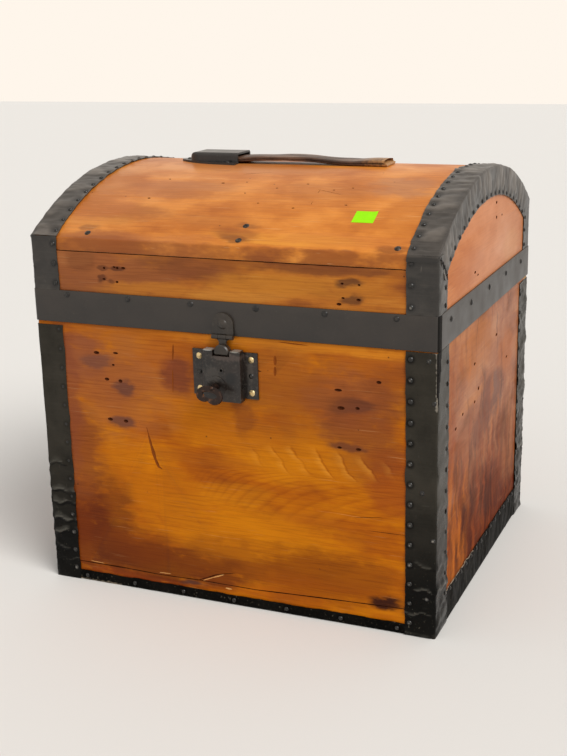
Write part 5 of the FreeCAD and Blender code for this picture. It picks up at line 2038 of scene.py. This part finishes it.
@dataclass
class Lid:
    """Arched lid: four walls and a bent dome board, bound in sheet iron, and its band."""

    corner_legs: tuple[float, float] = (27.0, 25.0)
    corner_tall: float = KNEE_Z - BAND_TOP + 0.8
    front_holes: tuple[Hole, ...] = tuple(Hole(x, z, 1.0) for x, z in (
        (-116.1, 307.9), (-105.8, 309.3), (-102.8, 308.6), (-96.7, 308.9), (-116.8, 297.9),
        (-103.7, 296), (108.5, 307.4), (123.2, 307.1), (109.2, 295.4), (122.7, 294.6),
        (105.6, 290)))
    end_holes: tuple[Hole, ...] = tuple(Hole(y, z) for y, z in (
        (25.9, 349.6), (27.3, 335.7), (48.4, 334.9), (-47.8, 298.7), (-37.6, 294.6)))
    dome_holes: tuple[Hole, ...] = tuple(Hole(x, y, 0.7) for x, y in (
        (-95.6, -71.2), (-97.6, -109.3), (-8.4, -94.8), (-38.5, -76.5), (-16.3, -72.5),
        (11.1, -110.6), (46.4, -116), (17.7, -83.3), (43.2, -72.7), (71.9, -83.5),
        (87.6, -78.2), (92.1, -108.6)))
    dome_cracks: tuple[Split, ...] = tuple(Split(path, 0.5, 0.6) for path in (
        ((-27, -52), (-15, -48), (-4, -45.5)), ((62, -125), (60, -104), (59, -84)),
        ((59, -84), (80, -91))))
    seam: Split = Split(tuple((x, SEAM_Z - 0.2) for x in range(-189, 190, 27)), 0.9, 1.6)
    # painted shade on the strips' faces where the lid's front right corner and arch strips
    # stand apart, and down the band's rounded front right corner
    lifted_seam_shade: Gap = Gap(Vector((191.8, -161, 331)), Vector((191.8, -139, 312)), 3.4, 5.0)
    band_corner_shade: Gap = Gap(Vector((192, -162.5, 250)), Vector((192, -162.5, 290)), 7.5, 7.5)

    def boards(self) -> list[Board]:
        """The five boards, not built yet."""
        faces, ends = "sawn_pine_faces", "sawn_pine_ends"
        front, back = "shellacked_pine_lid_front", "shellacked_pine_back"
        side = "shellacked_pine_lid_ends"
        return [
            LidWall("lid_front_board", "lid", Side.FRONT, front, faces, self.front_holes,
                    (self.seam,)),
            LidWall("lid_back_board", "lid", Side.BACK, back, faces),
            LidEnd("lid_left_end", "lid", Side.LEFT, side, ends),
            LidEnd("lid_right_end", "lid", Side.RIGHT, side, ends, self.end_holes),
            DomeBoard("dome_board", "lid", Side.TOP, "shellacked_pine_dome",
                      "sawn_pine_flat", self.dome_holes, self.dome_cracks, edge=0.9)]

    def strips(self) -> list[SheetStrip]:
        """The corner and arch bindings and the band.

        Returns:
            The strips, not built yet.
        """
        nails = heads("lid_corner_nails")
        corners = [FoldedStrip(
            "lid_corner_binding_" + name, "lid", "black_lid_iron", nails,
            gaps=(self.lifted_seam_shade,) if name == "front_right" else (),
            start=Vector((sx * HALF_W, sy * HALF_D, BAND_TOP)), length=self.corner_tall,
            leg_a=Vector((-sx, 0, 0)), wide_a=self.corner_legs[0],
            leg_b=Vector((0, -sy, 0)), wide_b=self.corner_legs[1])
            for name, (sx, sy) in CORNERS.items()]
        nails = heads("arch_nails")
        arches = [ArchedStrip("arch_binding_" + name, "lid", "black_arch_iron", nails,
                              dent=3.4, crumple=lambda p: 0.7, gaps=(self.lifted_seam_shade,), side=sx)
                  for name, sx in (("left", -1), ("right", 1))]
        return [*corners, *arches, LidBand("lid_band", "lid", "black_band_iron",
                                           heads("band_nails"), gaps=(self.band_corner_shade,))]

    def build(self, finishes: Finishes) -> None:
        """Build the boards and strips and finish the fastenings.

        Args:
            finishes: the finishes.
        """
        for part in [*self.boards(), *self.strips(), HandleStrap(), PaperLabel(),
                     Tacks("lid_corner_nails", "lid", skin="worn_and_highlit_nail_iron"),
                     Tacks("arch_nails", "lid", 2.3), Tacks("band_nails", "lid", 3.0)]:
            part.build(finishes)
        finishes.paint("black_nail_iron", "handle_nails")
        finishes.paint("wire_nail_steel", "lid_wall_nails")
        finishes.paint("zinc_screw_steel", "dome_screws")
        finishes.paint("handle_iron", "handle_cap")


@dataclass
class Hardware:
    """Lock, hasp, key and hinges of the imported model: rows of a finish and its pieces."""

    rows: tuple[tuple[str, ...], ...] = (
        ("japanned_lock_iron", "lock_backplate", "lock_case", "lock_key_post"),
        ("hasp_iron", "hasp_plate", "hasp_rivet", "hasp_pin", "hasp_tongue"),
        ("hinge_steel", "hinge_lower_leaf_left", "hinge_lower_leaf_right",
         "hinge_upper_leaf_left", "hinge_upper_leaf_right", "hinge_pins", "lock_bolt"),
        ("zinc_screw_steel", "hinge_lower_screws", "hinge_upper_screws"),
        ("lock_screw_brass", "lock_screws"),
        ("black_nail_iron", "lock_rivets"),
        ("rusty_key_steel", "key"))

    def build(self, finishes: Finishes) -> None:
        """Finish the hardware."""
        for skin, *nodes in self.rows:
            finishes.paint(skin, *nodes)


# ---- studio


@dataclass
class Studio:
    """Pale floor, soft light and the camera."""

    yaw: float = -23.28
    pitch: float = 16.24
    roll: float = -1.41
    spot: tuple[float, float, float] = (460.2, -1107.6, 521.2)
    lens: float = 59.7
    key: float = 0.75
    fill: float = 0.62
    softness: float = 34.0
    sun: tuple[float, float, float] = (0.6, -0.35, 0.72)
    floor_size: float = 12.0
    floor_tone: str = "DCD8D2"
    wall_tone: str = "FFF6EB"

    def stand(self, data: bpy.types.ID) -> Piece:
        """A camera or lamp stood in the room."""
        thing = bpy.data.objects.new(data.name, data)
        bpy.context.scene.collection.objects.link(thing)
        return thing

    def camera(self) -> None:
        """Stand the camera where the trunk is seen from."""
        data = bpy.data.cameras.new("camera")
        data.lens, data.sensor_width = self.lens, 36.0
        data.clip_start, data.clip_end = 0.05, 50.0
        camera = self.stand(data)
        place = Matrix.Translation(point(*self.spot))
        for angle, axis in ((-self.yaw, "Z"), (90 - self.pitch, "X"), (self.roll, "Z")):
            place @= Matrix.Rotation(math.radians(angle), 4, axis)
        camera.matrix_world = place
        bpy.context.scene.camera = camera

    def floor(self) -> None:
        """Lay the floor."""
        bpy.ops.mesh.primitive_plane_add(size=self.floor_size, location=(0, 0, 0))
        floor = settle(bpy.context.object, "floor")
        floor.data.materials.append(FloorPaper("floor_paper", self.floor_tone).make())

    def light(self) -> None:
        """Light the room evenly and add one large soft lamp."""
        world = bpy.data.worlds.new("room")
        world.use_nodes = True
        nodes = Nodes(world.node_tree)
        path = nodes.add("LightPath").node.outputs
        seen = nodes.add("Math.ADD", path["Is Camera Ray"], path["Is Glossy Ray"])
        seen = nodes.add("Math.ADD", seen, path["Is Transmission Ray"], use_clamp=True)
        room = nodes.add("Background", "FFFFFF", self.fill)
        wall = nodes.add("Background", self.wall_tone)
        nodes.add("OutputWorld", nodes.add("MixShader", seen, room, wall))
        bpy.context.scene.world = world
        data = bpy.data.lights.new("window", "SUN")
        data.angle = math.radians(self.softness)
        data.energy = self.key * math.pi
        lamp = self.stand(data)
        lamp.rotation_mode = "QUATERNION"
        lamp.rotation_quaternion = Vector(self.sun).to_track_quat("Z", "Y")

    def build(self) -> None:
        """Set the camera, floor, lamps and view."""
        bpy.context.scene.view_settings.view_transform = "Standard"
        self.camera()
        self.floor()
        self.light()


def main() -> None:
    """Build the trunk's pieces in order, then the studio."""
    logging.basicConfig(level=logging.INFO, format="%(message)s")
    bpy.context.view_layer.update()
    finishes = Finishes()
    Base().build(finishes)
    Lid().build(finishes)
    Hardware().build(finishes)
    Studio().build()


if __name__ == "__main__":
    main()
